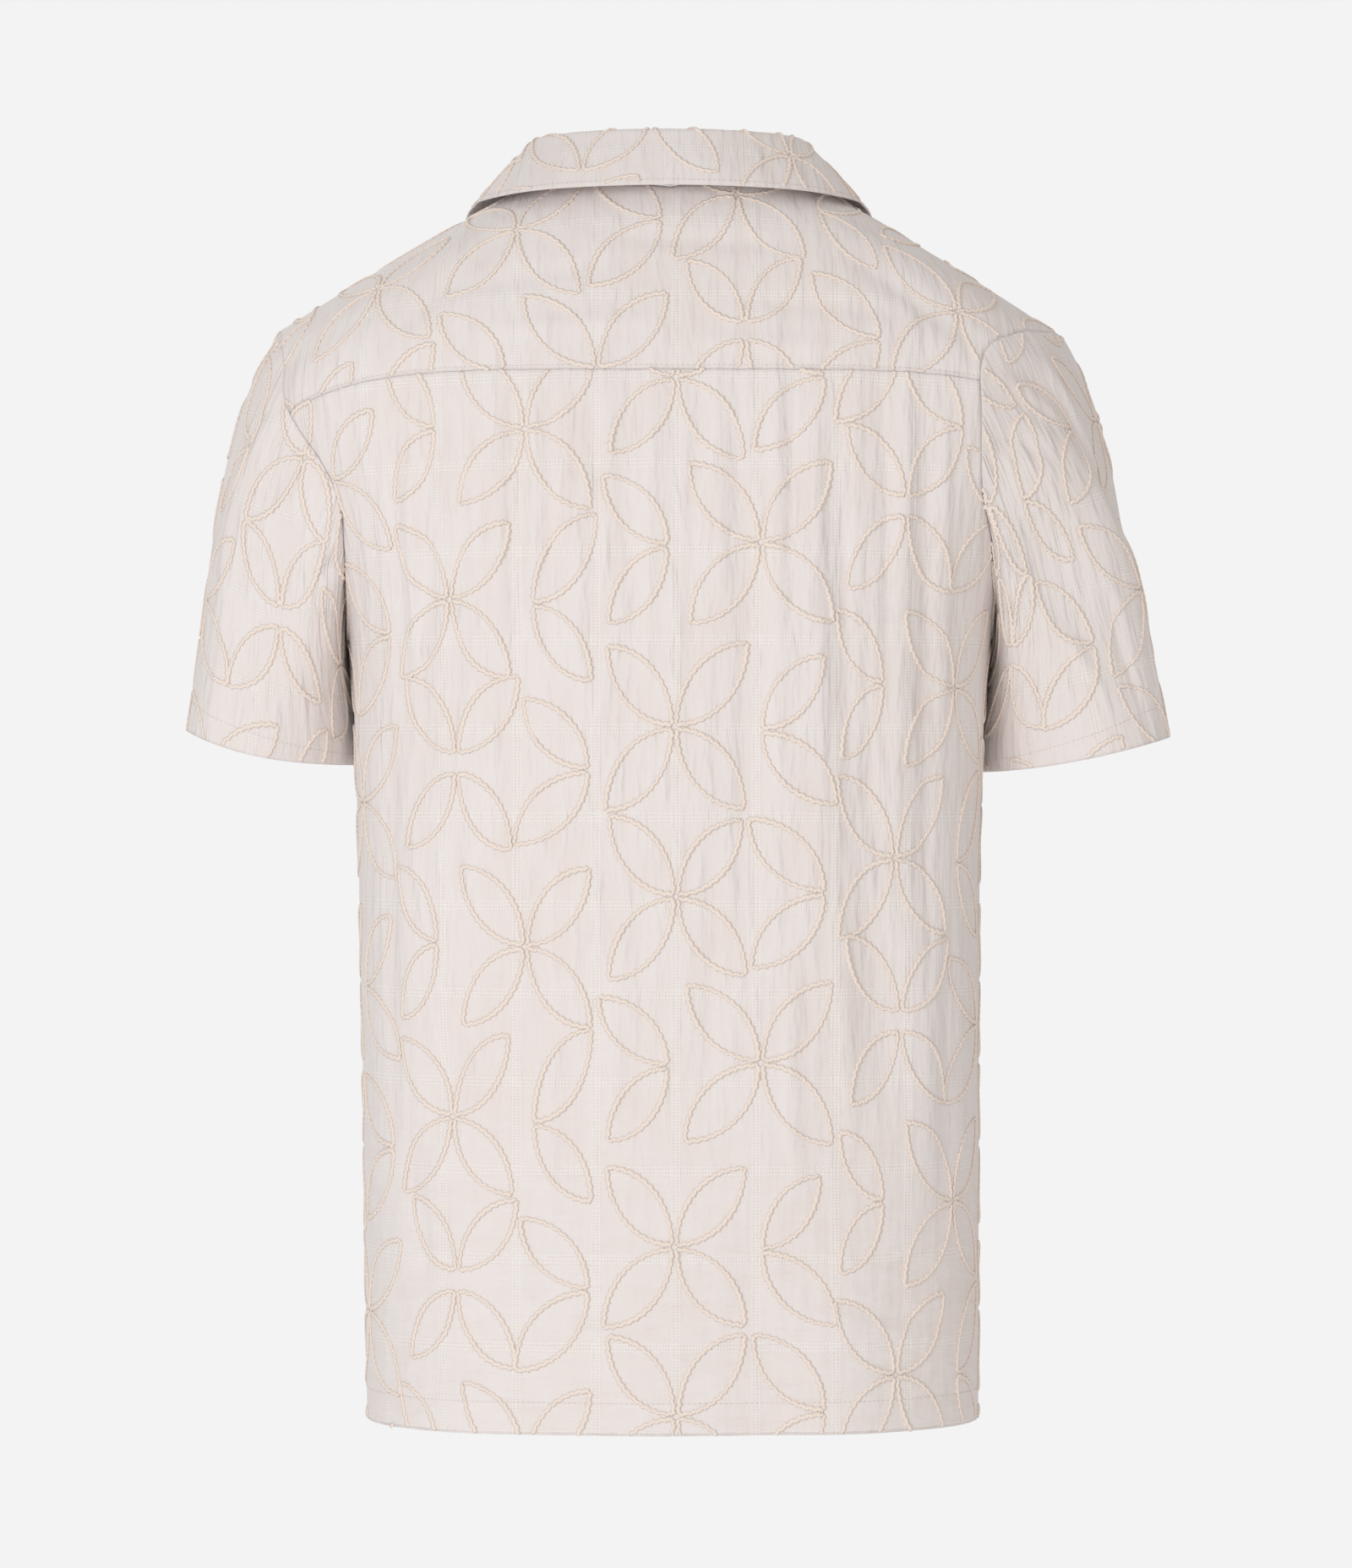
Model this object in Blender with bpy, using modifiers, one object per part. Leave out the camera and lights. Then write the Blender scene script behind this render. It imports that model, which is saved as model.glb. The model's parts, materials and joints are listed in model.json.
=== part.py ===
"""Short-sleeve shirt with an open camp collar, worn and filled out, as a hollow shell of cut pieces.

Metres, +Z up. The front faces -Y and the wearer's left is +X. The origin is at the base of the neck,
level with the back of the neck seam, where the wearer's shoulders and neck hold the shirt up.
"""
import bpy
import bmesh
import numpy as np

# Driving sizes in metres
WALL = 0.0015
COLLAR_WALL = 0.0018
SEAM_GAP = 0.0003
PLACKET_HALF = 0.015
BUTTON_RADIUS = 0.0056
BUTTON_HEIGHT = 0.0024
BUTTON_BEVEL = 0.0006
SIDE_CLEARANCE = 0.0006

# How many points each piece has, along it and across it
BODY_ROWS = 13
ARMHOLE_BACK_ROWS = 10
ARMHOLE_FRONT_ROWS = 11
ARMHOLE_YOKE_STEPS = 7
HALF_BACK_STEPS = 17
FRONT_COLUMNS = 19
YOKE_ROWS = 7
SLEEVE_RINGS = 12
COLLAR_STATIONS = 31
LAPEL_GRID = (8, 5)

# The torso is an arch of rows, from the hem at the back over the shoulders to the hem at the front.
# left and right are half widths and depth is the y of the row's middle. middle, left_end and right_end
# are heights. round is the superellipse power, and drop says how late a row falls towards its ends.
TORSO_COLUMNS = ("name", "left", "right", "depth", "middle", "left_end", "right_end", "round", "drop")
TORSO = (
    ("hem_back", 0.1768, 0.1730, 0.118, -0.697, -0.697, -0.697, 2.6, 2.0),
    ("seat_back", 0.1782, 0.1732, 0.121, -0.570, -0.570, -0.570, 2.6, 2.0),
    ("waist_back", 0.1802, 0.1735, 0.121, -0.450, -0.450, -0.450, 2.6, 2.0),
    ("ribs_back", 0.1828, 0.1747, 0.125, -0.340, -0.340, -0.340, 2.6, 2.0),
    ("underarm_back", 0.1880, 0.1810, 0.129, -0.247, -0.247, -0.247, 2.6, 3.0),
    ("blade", 0.2070, 0.2000, 0.130, -0.180, -0.182, -0.182, 2.6, 4.5),
    ("yoke_seam", 0.2330, 0.2330, 0.121, -0.106, -0.136, -0.136, 2.6, 5.8),
    ("upper_back", 0.2380, 0.2370, 0.100, -0.050, -0.112, -0.116, 2.5, 3.0),
    ("high_back", 0.2420, 0.2400, 0.070, 0.000, -0.098, -0.103, 2.4, 1.7),
    ("near_ridge", 0.2445, 0.2420, 0.035, 0.031, -0.090, -0.096, 2.3, 1.3),
    ("ridge", 0.2450, 0.2425, 0.000, 0.057, -0.087, -0.093, 2.2, 1.0),
    ("front_yoke", 0.2445, 0.2420, -0.038, 0.049, -0.092, -0.098, 2.3, 1.15),
    ("front_high", 0.2400, 0.2380, -0.075, -0.010, -0.106, -0.111, 2.4, 1.6),
    ("front_chest", 0.2280, 0.2230, -0.105, -0.085, -0.142, -0.145, 2.5, 3.0),
    ("front_mid", 0.2050, 0.1990, -0.122, -0.165, -0.185, -0.185, 2.6, 4.0),
    ("underarm_front", 0.1880, 0.1810, -0.128, -0.247, -0.247, -0.247, 2.6, 3.0),
    ("ribs_front", 0.1828, 0.1747, -0.125, -0.340, -0.340, -0.340, 2.6, 2.0),
    ("waist_front", 0.1802, 0.1735, -0.121, -0.450, -0.450, -0.450, 2.6, 2.0),
    ("seat_front", 0.1782, 0.1732, -0.119, -0.570, -0.570, -0.570, 2.6, 2.0),
    ("hem_front", 0.1768, 0.1730, -0.116, -0.697, -0.697, -0.697, 2.6, 2.0),
)
ROW = {row[0]: number for number, row in enumerate(TORSO)}

# The armhole seams, as degrees in from each side at a place on the arch, counted in torso rows
ARMHOLE_COLUMNS = ("row", "left", "right")
ARMHOLE = (
    (4.00, 0.0, 0.0),
    (4.12, 11.0, 11.0),
    (4.35, 21.0, 22.0),
    (4.70, 28.0, 30.0),
    (5.00, 31.5, 36.5),
    (5.40, 31.5, 42.5),
    (5.75, 29.0, 46.0),
    (6.00, 27.7, 47.7),
    (7.00, 27.3, 42.0),
    (8.00, 27.0, 35.5),
    (9.00, 26.5, 31.0),
    (10.0, 25.7, 26.0),
    (11.0, 27.0, 27.0),
    (12.0, 27.5, 27.5),
    (13.0, 30.0, 30.0),
    (14.0, 32.0, 32.0),
    (14.6, 26.0, 26.0),
    (14.88, 12.0, 12.0),
    (15.0, 0.0, 0.0),
)

# The neck seam of the yoke, from the middle of the back to the front yoke seam. share is the way along it.
NECK_COLUMNS = ("share", "row", "left", "right")
NECK = (
    (0.00, 8.00, 89.2, 90.8),
    (0.20, 8.16, 82.9, 83.3),
    (0.38, 8.64, 75.9, 76.5),
    (0.56, 9.36, 72.0, 72.4),
    (0.78, 10.08, 70.7, 71.1),
    (1.00, 11.00, 71.9, 71.65),
)
NECK_ROWS_PAST_YOKE = 3.0

# The yoke's outer edge after its back corner, up the armhole and over to the front yoke seam
YOKE_CORNER_SHARE = 0.5625
YOKE_END_COLUMNS = ("share", "row")
YOKE_END = ((0.5625, 6.0), (0.69, 7.0), (0.80, 8.0), (0.88, 9.0), (0.94, 10.0), (1.00, 11.0))

# The open front edge of a front panel: how far its edge lies past the middle at a place on the arch
FRONT_EDGE_COLUMNS = ("row", "x")
FRONT_EDGE = (
    (11.0, 0.0775),
    (11.6, 0.0655),
    (12.3, 0.0480),
    (13.0, 0.0250),
    (13.55, 0.0020),
    (13.85, -0.0150),
    (19.0, -0.0150),
)

# The largest folds of the body. across and down are x and z of a fold's two ends, height is how far it
# stands proud, or sinks where it is negative. Folds fade out over a share of their length at each end,
# and between two depths at the sides of the body.
FOLD_COLUMNS = ("side", "across_top", "down_top", "across_foot", "down_foot", "width", "height")
FOLDS = (
    ("back", 0.104, -0.120, 0.108, -0.370, 0.0140, 0.0030),
    ("back", 0.090, -0.125, 0.088, -0.372, 0.0100, -0.0042),
    ("back", 0.060, -0.130, 0.054, -0.300, 0.0140, 0.0016),
    ("back", -0.012, -0.160, -0.002, -0.370, 0.0180, 0.0020),
    ("back", -0.044, -0.185, -0.039, -0.421, 0.0100, -0.0030),
    ("back", -0.072, -0.160, -0.080, -0.410, 0.0160, 0.0030),
    ("back", -0.090, -0.165, -0.108, -0.380, 0.0120, -0.0046),
    ("back", -0.109, -0.392, -0.117, -0.508, 0.0140, -0.0050),
    ("back", -0.140, -0.400, -0.138, -0.560, 0.0180, 0.0030),
    ("back", 0.109, -0.426, 0.130, -0.524, 0.0120, -0.0042),
    ("back", 0.146, -0.360, 0.150, -0.470, 0.0160, 0.0030),
    ("back", 0.050, -0.476, 0.056, -0.572, 0.0130, -0.0030),
    ("back", -0.041, -0.572, -0.041, -0.630, 0.0090, -0.0022),
    ("back", 0.114, -0.610, 0.120, -0.720, 0.0260, 0.0034),
    ("back", 0.010, -0.590, 0.014, -0.720, 0.0300, 0.0026),
    ("back", -0.092, -0.600, -0.098, -0.720, 0.0240, 0.0034),
    ("back", -0.050, -0.640, -0.052, -0.720, 0.0180, -0.0026),
    ("front", 0.118, -0.170, 0.112, -0.360, 0.0140, -0.0036),
    ("front", 0.086, -0.150, 0.078, -0.330, 0.0150, 0.0028),
    ("front", 0.052, -0.300, 0.058, -0.520, 0.0150, -0.0032),
    ("front", 0.126, -0.430, 0.134, -0.590, 0.0170, 0.0034),
    ("front", 0.090, -0.560, 0.086, -0.720, 0.0220, -0.0032),
    ("front", -0.096, -0.160, -0.088, -0.350, 0.0150, -0.0038),
    ("front", -0.128, -0.240, -0.122, -0.420, 0.0160, 0.0030),
    ("front", -0.060, -0.330, -0.066, -0.560, 0.0160, -0.0030),
    ("front", -0.116, -0.470, -0.126, -0.640, 0.0180, -0.0038),
    ("front", -0.082, -0.600, -0.084, -0.720, 0.0240, 0.0034),
)

FOLD_FADE = 0.25
FOLD_SIDE_FADE = (0.02, 0.06)

# How a sleeve leaves its armhole, as a direction in its own terms: out from the body, back and up.
# share is the way round the armhole from the underarm, up the back, over the shoulder and down the front.
SLEEVE_START_COLUMNS = ("share", "out", "back", "up")
LEFT_SLEEVE_START = (
    (0.00, 0.10, -0.30, -0.95),
    (0.12, 0.22, 0.12, -0.97),
    (0.26, 0.46, -0.02, -0.89),
    (0.38, 0.55, -0.16, -0.82),
    (0.50, 0.58, 0.00, -0.81),
    (0.62, 0.58, 0.12, -0.80),
    (0.74, 0.46, 0.04, -0.89),
    (0.88, 0.18, -0.16, -0.97),
    (1.00, 0.10, -0.30, -0.95),
)
RIGHT_SLEEVE_START = (
    (0.00, 0.10, -0.30, -0.95),
    (0.12, 0.24, 0.00, -0.97),
    (0.26, 0.62, -0.42, -0.66),
    (0.38, 0.74, -0.36, -0.57),
    (0.50, 0.50, 0.00, -0.87),
    (0.62, 0.55, 0.12, -0.83),
    (0.74, 0.46, 0.04, -0.89),
    (0.88, 0.18, -0.16, -0.97),
    (1.00, 0.10, -0.30, -0.95),
)

# The cuffs: inner and outer are the x and z of the opening's two ends, half_depth its half size along y,
# forward how far its middle lies forward, turn how far it is turned about the vertical, in degrees, and
# rise how late it climbs from its inner end to its outer one
CUFF_COLUMNS = ("inner_x", "inner_z", "outer_x", "outer_z", "half_depth", "forward", "turn", "rise")
LEFT_CUFF = (0.1845, -0.3250, 0.2806, -0.3050, 0.0680, 0.010, 20.0, 2.4)
RIGHT_CUFF = (0.1775, -0.3290, 0.2828, -0.3090, 0.0680, 0.010, 20.0, 1.6)
CUFF_TURN_SHARE = 0.5
SLEEVE_FALL = (0.200, -0.02, -0.980)
SLEEVE_PULL = 0.95
# A sleeve is shorter than its armhole is round, by this share
SLEEVE_REACH_SHARE = 0.6

# The largest folds of the sleeves, from one place to another: share round the armhole, and reach along
# the sleeve from the armhole at 0 to the cuff at 1
SLEEVE_FOLD_COLUMNS = ("side", "share_a", "reach_a", "share_b", "reach_b", "width", "height")
SLEEVE_FOLDS = (
    ("left", 0.20, 0.10, 0.27, 0.70, 0.050, -0.0030),
    ("left", 0.33, 0.05, 0.38, 0.60, 0.050, 0.0022),
    ("left", 0.72, 0.10, 0.68, 0.75, 0.050, -0.0030),
    ("right", 0.36, 0.10, 0.47, 0.50, 0.045, -0.0046),
    ("right", 0.30, 0.16, 0.40, 0.66, 0.050, 0.0042),
    ("right", 0.24, 0.30, 0.33, 0.90, 0.045, -0.0040),
    ("right", 0.72, 0.10, 0.66, 0.70, 0.050, -0.0030),
)

# The collar, from the middle of the back to its front end. neck is where its foot meets the neck seam,
# fold is the crest and edge the free edge of the fall. The right side is the left's mirror, moved over.
COLLAR_COLUMNS = ("share", "neck", "fold", "edge")
COLLAR = (
    (0.00, 0.00, (0.0000, 0.0620, 0.0325), (0.0000, 0.0870, -0.0010)),
    (0.16, 0.20, (0.0300, 0.0565, 0.0325), (0.0400, 0.0830, -0.0015)),
    (0.32, 0.42, (0.0570, 0.0395, 0.0325), (0.0780, 0.0650, -0.0025)),
    (0.46, 0.60, (0.0740, 0.0170, 0.0320), (0.1030, 0.0330, -0.0040)),
    (0.60, 0.80, (0.0765, -0.0070, 0.0300), (0.1115, -0.0060, -0.0040)),
    (0.78, 1.04, (0.0715, -0.0370, 0.0220), (0.1180, -0.0470, -0.0120)),
    (1.00, 1.36, (0.0515, -0.0775, -0.0110), (0.1110, -0.0890, -0.0500)),
)
COLLAR_MIDDLE = 0.0040
COLLAR_FOOT_INSIDE = 0.0013
COLLAR_FOOT_RISE = 0.0008
COLLAR_FOLD_RADIUS = 0.0032

# Points across the collar's cloth: the way up its rise or down its fall, and how far each then lies over
# and down, in fold radii
COLLAR_SECTION_COLUMNS = ("rise", "fall", "over", "down")
COLLAR_SECTION = (
    (0.00, 0.00, 0.00, 0.00),
    (0.45, 0.00, -0.60, 0.00),
    (1.00, 0.00, -1.00, 1.20),
    (1.00, 0.00, -0.75, 0.35),
    (1.00, 0.00, 0.00, 0.00),
    (1.00, 0.00, 0.75, 0.35),
    (1.00, 0.18, 0.50, 0.00),
    (1.00, 0.42, 0.60, 0.00),
    (1.00, 0.70, 0.45, 0.00),
    (1.00, 1.00, 0.00, 0.00),
)

# How far from the placket the right front, which laps under, comes back to its own form
UNDERLAP_FADE = (0.004, 0.034)

# The open lapels lie on the front panels: how far each reaches out from the front edge
LAPEL_COLUMNS = ("row", "reach")
LAPEL = (
    (12.05, 0.0440),
    (12.40, 0.0600),
    (12.80, 0.0540),
    (13.10, 0.0340),
    (13.32, 0.0080),
)
LAPEL_STANDOFF = 0.0004
BUTTON_STANDOFF = 0.0006

BUTTON_HEIGHTS = (-0.166, -0.256, -0.346, -0.436, -0.526)

CLOTH = ("cloth", (0.90, 0.87, 0.85), 0.85)
SHELL_BUTTON = ("button", (0.86, 0.82, 0.76), 0.35)


def column(table, columns, name):
    """One named column of a table, as an array."""
    return np.array([row[columns.index(name)] for row in table], float)


def smooth(at, places, values):
    """A smooth curve through the values at the places, read at the places asked for."""
    slopes = np.gradient(values, places)
    at = np.clip(at, places[0], places[-1])
    k = np.clip(np.searchsorted(places, at) - 1, 0, len(places) - 2)
    span = places[k + 1] - places[k]
    t = (at - places[k]) / span
    return ((2 * t**3 - 3 * t**2 + 1) * values[k] + (t**3 - 2 * t**2 + t) * span * slopes[k]
            + (3 * t**2 - 2 * t**3) * values[k + 1] + (t**3 - t**2) * span * slopes[k + 1])


def smoothstep(value, low, high):
    """0 below low, 1 above high, and an even rise between them."""
    t = np.clip((value - low) / (high - low), 0.0, 1.0)
    return t * t * (3 - 2 * t)


def unit(vectors):
    return vectors / np.maximum(np.linalg.norm(vectors, axis=-1, keepdims=True), 1e-9)


def torso_value(row, name):
    return smooth(row, np.arange(len(TORSO), dtype=float), column(TORSO, TORSO_COLUMNS, name))


def torso(row, angle):
    """The torso's smooth form at a place on the arch. angle is 0 at the left side and pi at the right."""
    row, angle = np.broadcast_arrays(np.asarray(row, float), np.asarray(angle, float))
    cos, sin = np.cos(angle), np.sin(angle)
    power = torso_value(row, "round")
    stretch = (np.abs(cos) ** power + np.abs(sin) ** power) ** (-1 / power)
    half = np.where(cos > 0, torso_value(row, "left"), torso_value(row, "right"))
    end = np.where(cos > 0, torso_value(row, "left_end"), torso_value(row, "right_end"))
    middle = torso_value(row, "middle")
    outward = np.clip(np.abs(cos) * stretch, 0, 1)
    x = half * cos * stretch
    y = torso_value(row, "depth") * sin * stretch
    z = middle + (end - middle) * outward ** torso_value(row, "drop")
    return np.stack([x, y, z], axis=-1)


def torso_normal(row, angle):
    """The direction that points out of the torso's form."""
    row, angle = np.broadcast_arrays(np.asarray(row, float), np.asarray(angle, float))
    step, least = 0.02, np.radians(5.0)
    angle = np.clip(angle, least, np.pi - least)
    low, high = np.clip(row - step, 0, len(TORSO) - 1), np.clip(row + step, 0, len(TORSO) - 1)
    along = torso(high, angle) - torso(low, angle)
    across = torso(row, angle + step) - torso(row, angle - step)
    return unit(np.cross(across, along))


def body_relief(points):
    """How far the cloth stands proud of the torso's form, from the table of folds."""
    relief = np.zeros(points.shape[:-1])
    for side, x_top, z_top, x_foot, z_foot, width, height in FOLDS:
        start, end = np.array([x_top, z_top]), np.array([x_foot, z_foot])
        length = np.linalg.norm(end - start)
        along_line = (end - start) / length
        offset = points[..., [0, 2]] - start
        t = offset @ along_line / length
        away = offset[..., 0] * along_line[1] - offset[..., 1] * along_line[0]
        ends = smoothstep(t, -FOLD_FADE, FOLD_FADE) * (1 - smoothstep(t, 1 - FOLD_FADE, 1 + FOLD_FADE))
        facing = smoothstep(points[..., 1] * (1 if side == "back" else -1), *FOLD_SIDE_FADE)
        relief += height * np.exp(-(away / width) ** 2) * ends * facing
    return relief


def cloth(row, angle):
    """The outer face of the body's cloth, and the direction out of it."""
    base, normal = torso(row, angle), torso_normal(row, angle)
    return base + normal * body_relief(base)[..., None], normal


def armhole_angle(row, side):
    """How far in from its side an armhole seam lies, in radians, at a place on the arch."""
    places = column(ARMHOLE, ARMHOLE_COLUMNS, "row")
    degrees = np.maximum(smooth(row, places, column(ARMHOLE, ARMHOLE_COLUMNS, side)), 0)
    inside = (np.asarray(row) > places[0]) & (np.asarray(row) < places[-1])
    return np.radians(np.where(inside, degrees, 0.0))


def from_side(angle, side):
    """An angle measured from one side, as the torso's own angle."""
    return angle if side == "left" else np.pi - angle


def angle_at(row, x):
    """The torso's angle where it is x across, at a place on the arch."""
    angles = np.radians(np.linspace(178, 2, 353))
    return np.array([np.interp(x_one, torso(row_one, angles)[:, 0], angles)
                     for row_one, x_one in zip(np.ravel(row), np.ravel(x))])


def even_places(path, first, last, count):
    """Places on the arch between two others, evenly spaced along the path that a function of them draws."""
    fine = np.linspace(first, last, 600)
    length = np.concatenate([[0], np.cumsum(np.linalg.norm(np.diff(path(fine), axis=0), axis=1))])
    return np.interp(np.linspace(0, length[-1], count), length, fine)


def middle_path(rows):
    return torso(rows, np.pi / 2)


def armhole_path(side):
    return lambda rows: torso(rows, from_side(armhole_angle(rows, side), side))


def back_rows():
    """The back panel's rows: even ones up to the underarm, then the armhole's own."""
    low = even_places(middle_path, ROW["hem_back"], ROW["underarm_back"], BODY_ROWS)
    high = even_places(armhole_path("left"), ROW["underarm_back"], ROW["yoke_seam"], ARMHOLE_BACK_ROWS)
    return np.concatenate([low, high[1:]])


def front_rows():
    """A front panel's rows, from the front yoke seam down to the hem."""
    high = even_places(armhole_path("left"), ROW["front_yoke"], ROW["underarm_front"], ARMHOLE_FRONT_ROWS)
    low = even_places(middle_path, ROW["underarm_front"], ROW["hem_front"], BODY_ROWS)
    return np.concatenate([high, low[1:]])


def yoke_end_rows():
    """Places on the arch of the yoke's edge along an armhole, from its back corner to its front one."""
    share = np.linspace(YOKE_END[0][0], YOKE_END[-1][0], ARMHOLE_YOKE_STEPS + 1)
    return np.interp(share, column(YOKE_END, YOKE_END_COLUMNS, "share"),
                     column(YOKE_END, YOKE_END_COLUMNS, "row"))


def armhole_rows():
    """Every place on the arch where an armhole has a point, from the underarm round to the underarm."""
    back, front = back_rows()[BODY_ROWS - 1:], front_rows()[:ARMHOLE_FRONT_ROWS]
    return np.concatenate([back, yoke_end_rows()[1:], front[1:]])


def armhole_loop(side, count):
    """Places on the arch, evenly spaced round an armhole from the underarm, up the back and over."""
    least = 1e-4
    return even_places(armhole_path(side), ROW["underarm_back"] + least, ROW["underarm_front"] - least, count)


def sleeve_relief(side, share, reach):
    relief = np.zeros(np.broadcast(share, reach).shape)
    for fold_side, share_a, reach_a, share_b, reach_b, width, height in SLEEVE_FOLDS:
        if fold_side != side:
            continue
        line = np.array([share_b - share_a, (reach_b - reach_a) * SLEEVE_REACH_SHARE])
        length = np.linalg.norm(line)
        offset_share, offset_reach = share - share_a, (reach - reach_a) * SLEEVE_REACH_SHARE
        t = (offset_share * line[0] + offset_reach * line[1]) / length**2
        away = (offset_share * line[1] - offset_reach * line[0]) / length
        ends = smoothstep(t, -FOLD_FADE, FOLD_FADE) * (1 - smoothstep(t, 1 - FOLD_FADE, 1 + FOLD_FADE))
        relief += height * np.exp(-(away / width) ** 2) * ends
    return relief * smoothstep(reach, 0.0, 0.15)


def sleeve_form(side, share, reach):
    """A sleeve's smooth form, as a left one. share runs round the armhole and reach from it to the cuff."""
    mirror = np.array([1.0 if side == "left" else -1.0, 1.0, 1.0])
    rows = np.interp(share, np.linspace(0, 1, 601), armhole_loop(side, 601))
    seam = torso(rows, from_side(armhole_angle(rows, side), side)) * mirror
    table = LEFT_SLEEVE_START if side == "left" else RIGHT_SLEEVE_START
    places = column(table, SLEEVE_START_COLUMNS, "share")
    leave = unit(np.stack([smooth(share, places, column(table, SLEEVE_START_COLUMNS, name))
                           for name in SLEEVE_START_COLUMNS[1:]], axis=-1))
    cuff = dict(zip(CUFF_COLUMNS, LEFT_CUFF if side == "left" else RIGHT_CUFF))
    half_width = (cuff["outer_x"] - cuff["inner_x"]) / 2
    turn, round_cuff = np.radians(cuff["turn"]), 2 * np.pi * share
    across = -np.cos(round_cuff) * half_width
    back = np.sin(round_cuff) * cuff["half_depth"]
    # The turned opening would be wider than it measures, so it is brought back to its width
    turned = across * np.cos(turn) + back * np.sin(turn) * CUFF_TURN_SHARE
    widest = np.hypot(half_width * np.cos(turn), cuff["half_depth"] * np.sin(turn) * CUFF_TURN_SHARE)
    x = (cuff["outer_x"] + cuff["inner_x"]) / 2 + turned * half_width / widest
    y = back * np.cos(turn) - cuff["forward"]
    outward = np.clip((x - cuff["inner_x"]) / (2 * half_width), 0, 1)
    z = cuff["inner_z"] + (cuff["outer_z"] - cuff["inner_z"]) * outward ** cuff["rise"]
    end = np.stack(np.broadcast_arrays(x, y, z), axis=-1)
    fall = unit(np.array(SLEEVE_FALL))
    pull = np.linalg.norm(end - seam, axis=-1, keepdims=True) * SLEEVE_PULL
    t = np.asarray(reach, float)[..., None]
    return ((2 * t**3 - 3 * t**2 + 1) * seam + (t**3 - 2 * t**2 + t) * pull * leave
            + (3 * t**2 - 2 * t**3) * end + (t**3 - t**2) * pull * fall)


def sleeve_normal(side, share, reach):
    """The direction out of a sleeve's form, as a left one."""
    step = 0.012
    low, high = np.clip(reach - step, 0, 1), np.clip(reach + step, 0, 1)
    down = sleeve_form(side, share, high) - sleeve_form(side, share, low)
    round_it = sleeve_form(side, (share + step) % 1.0, reach) - sleeve_form(side, (share - step) % 1.0, reach)
    return unit(np.cross(round_it, down))


def seam_walls(side, count=120):
    """Round an armhole: places on the arch, and the wall that body and sleeve have there.

    Where the two meet at a small bend the wall is mitred and shared. Under the arm, where the sleeve
    turns back down along the body, each keeps its own.
    """
    share = np.linspace(0, 1, count)
    least_mitre, turned_back, just_past_seam = 0.6, (-0.35, 0.25), 0.02
    rows = armhole_loop(side, count)
    mirror = np.array([1.0 if side == "left" else -1.0, 1.0, 1.0])
    body = torso_normal(rows, from_side(armhole_angle(rows, side), side)) * mirror
    sleeve = sleeve_normal(side, share, np.full(count, just_past_seam))
    agree = np.sum(body * sleeve, axis=1, keepdims=True)
    mitre = unit(body + sleeve)
    shared = mitre / np.maximum(np.sum(mitre * body, axis=1, keepdims=True), least_mitre)
    own = 1 - smoothstep(agree, *turned_back)
    body_wall = -WALL * (shared * (1 - own) + body * own)
    sleeve_wall = -WALL * (shared * (1 - own) + sleeve * own)
    lift = body * own * SIDE_CLEARANCE
    return {"share": share, "rows": rows, "body": body_wall * mirror, "sleeve": sleeve_wall, "lift": lift}


def read_along(at, places, vectors):
    return np.stack([np.interp(at, places, vectors[:, k]) for k in range(3)], axis=-1)


def inset(points, edges):
    """Moves the named edges of a grid of points in by just over half a seam gap."""
    moved, just_over_half = points.copy(), 0.55
    for edge in edges:
        line, inner = {"first_row": ((0,), (1,)), "last_row": ((-1,), (-2,)),
                       "first_column": ((slice(None), 0), (slice(None), 1)),
                       "last_column": ((slice(None), -1), (slice(None), -2))}[edge]
        moved[line] += unit(points[inner] - points[line]) * SEAM_GAP * just_over_half
    return moved


def make_material(kind):
    name, colour, roughness = kind
    material = bpy.data.materials.get(name) or bpy.data.materials.new(name)
    material.use_nodes = True
    shader = material.node_tree.nodes["Principled BSDF"]
    shader.inputs["Base Color"].default_value = (*colour, 1.0)
    shader.inputs["Roughness"].default_value = roughness
    shader.inputs["Metallic"].default_value = 0.0
    return material


def make_shell(name, points, walls, collection, tube=False):
    """A closed cloth wall: a grid shaped to the outer points, and extruded by each point's wall."""
    rows, columns = points.shape[:2]
    mesh = bmesh.new()
    bmesh.ops.create_grid(mesh, x_segments=columns - 1, y_segments=rows - 1, size=0.5)
    wall_of = {}
    for vertex in mesh.verts:
        i = round((vertex.co.y + 0.5) * (rows - 1))
        j = round((vertex.co.x + 0.5) * (columns - 1))
        vertex.co = points[i, j]
        wall_of[vertex] = walls[i, j]
    if tube:
        bmesh.ops.remove_doubles(mesh, verts=mesh.verts, dist=1e-6)
    outer = {tuple(np.round(vertex.co, 7)): wall_of[vertex] for vertex in mesh.verts}
    inner = bmesh.ops.extrude_face_region(mesh, geom=mesh.faces[:])["geom"]
    for vertex in inner:
        if isinstance(vertex, bmesh.types.BMVert):
            vertex.co = np.array(vertex.co) + outer[tuple(np.round(vertex.co, 7))]
    bmesh.ops.recalc_face_normals(mesh, faces=mesh.faces)
    data = bpy.data.meshes.new(name)
    mesh.to_mesh(data)
    mesh.free()
    data.shade_smooth()
    data.set_sharp_from_angle(angle=np.radians(50))
    piece = bpy.data.objects.new(name, data)
    data.materials.append(make_material(CLOTH))
    collection.objects.link(piece)
    return piece


def edge_walls(walls, rows, side, line):
    """Gives the column of a panel that runs along an armhole the wall that it shares with the sleeve."""
    seam = SEAM_WALLS[side]
    on_armhole = (rows > ROW["underarm_back"]) & (rows < ROW["underarm_front"])
    shared = read_along(rows, seam["rows"], seam["body"])
    walls[:, line] = np.where(on_armhole[:, None], shared, walls[:, line])


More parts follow.
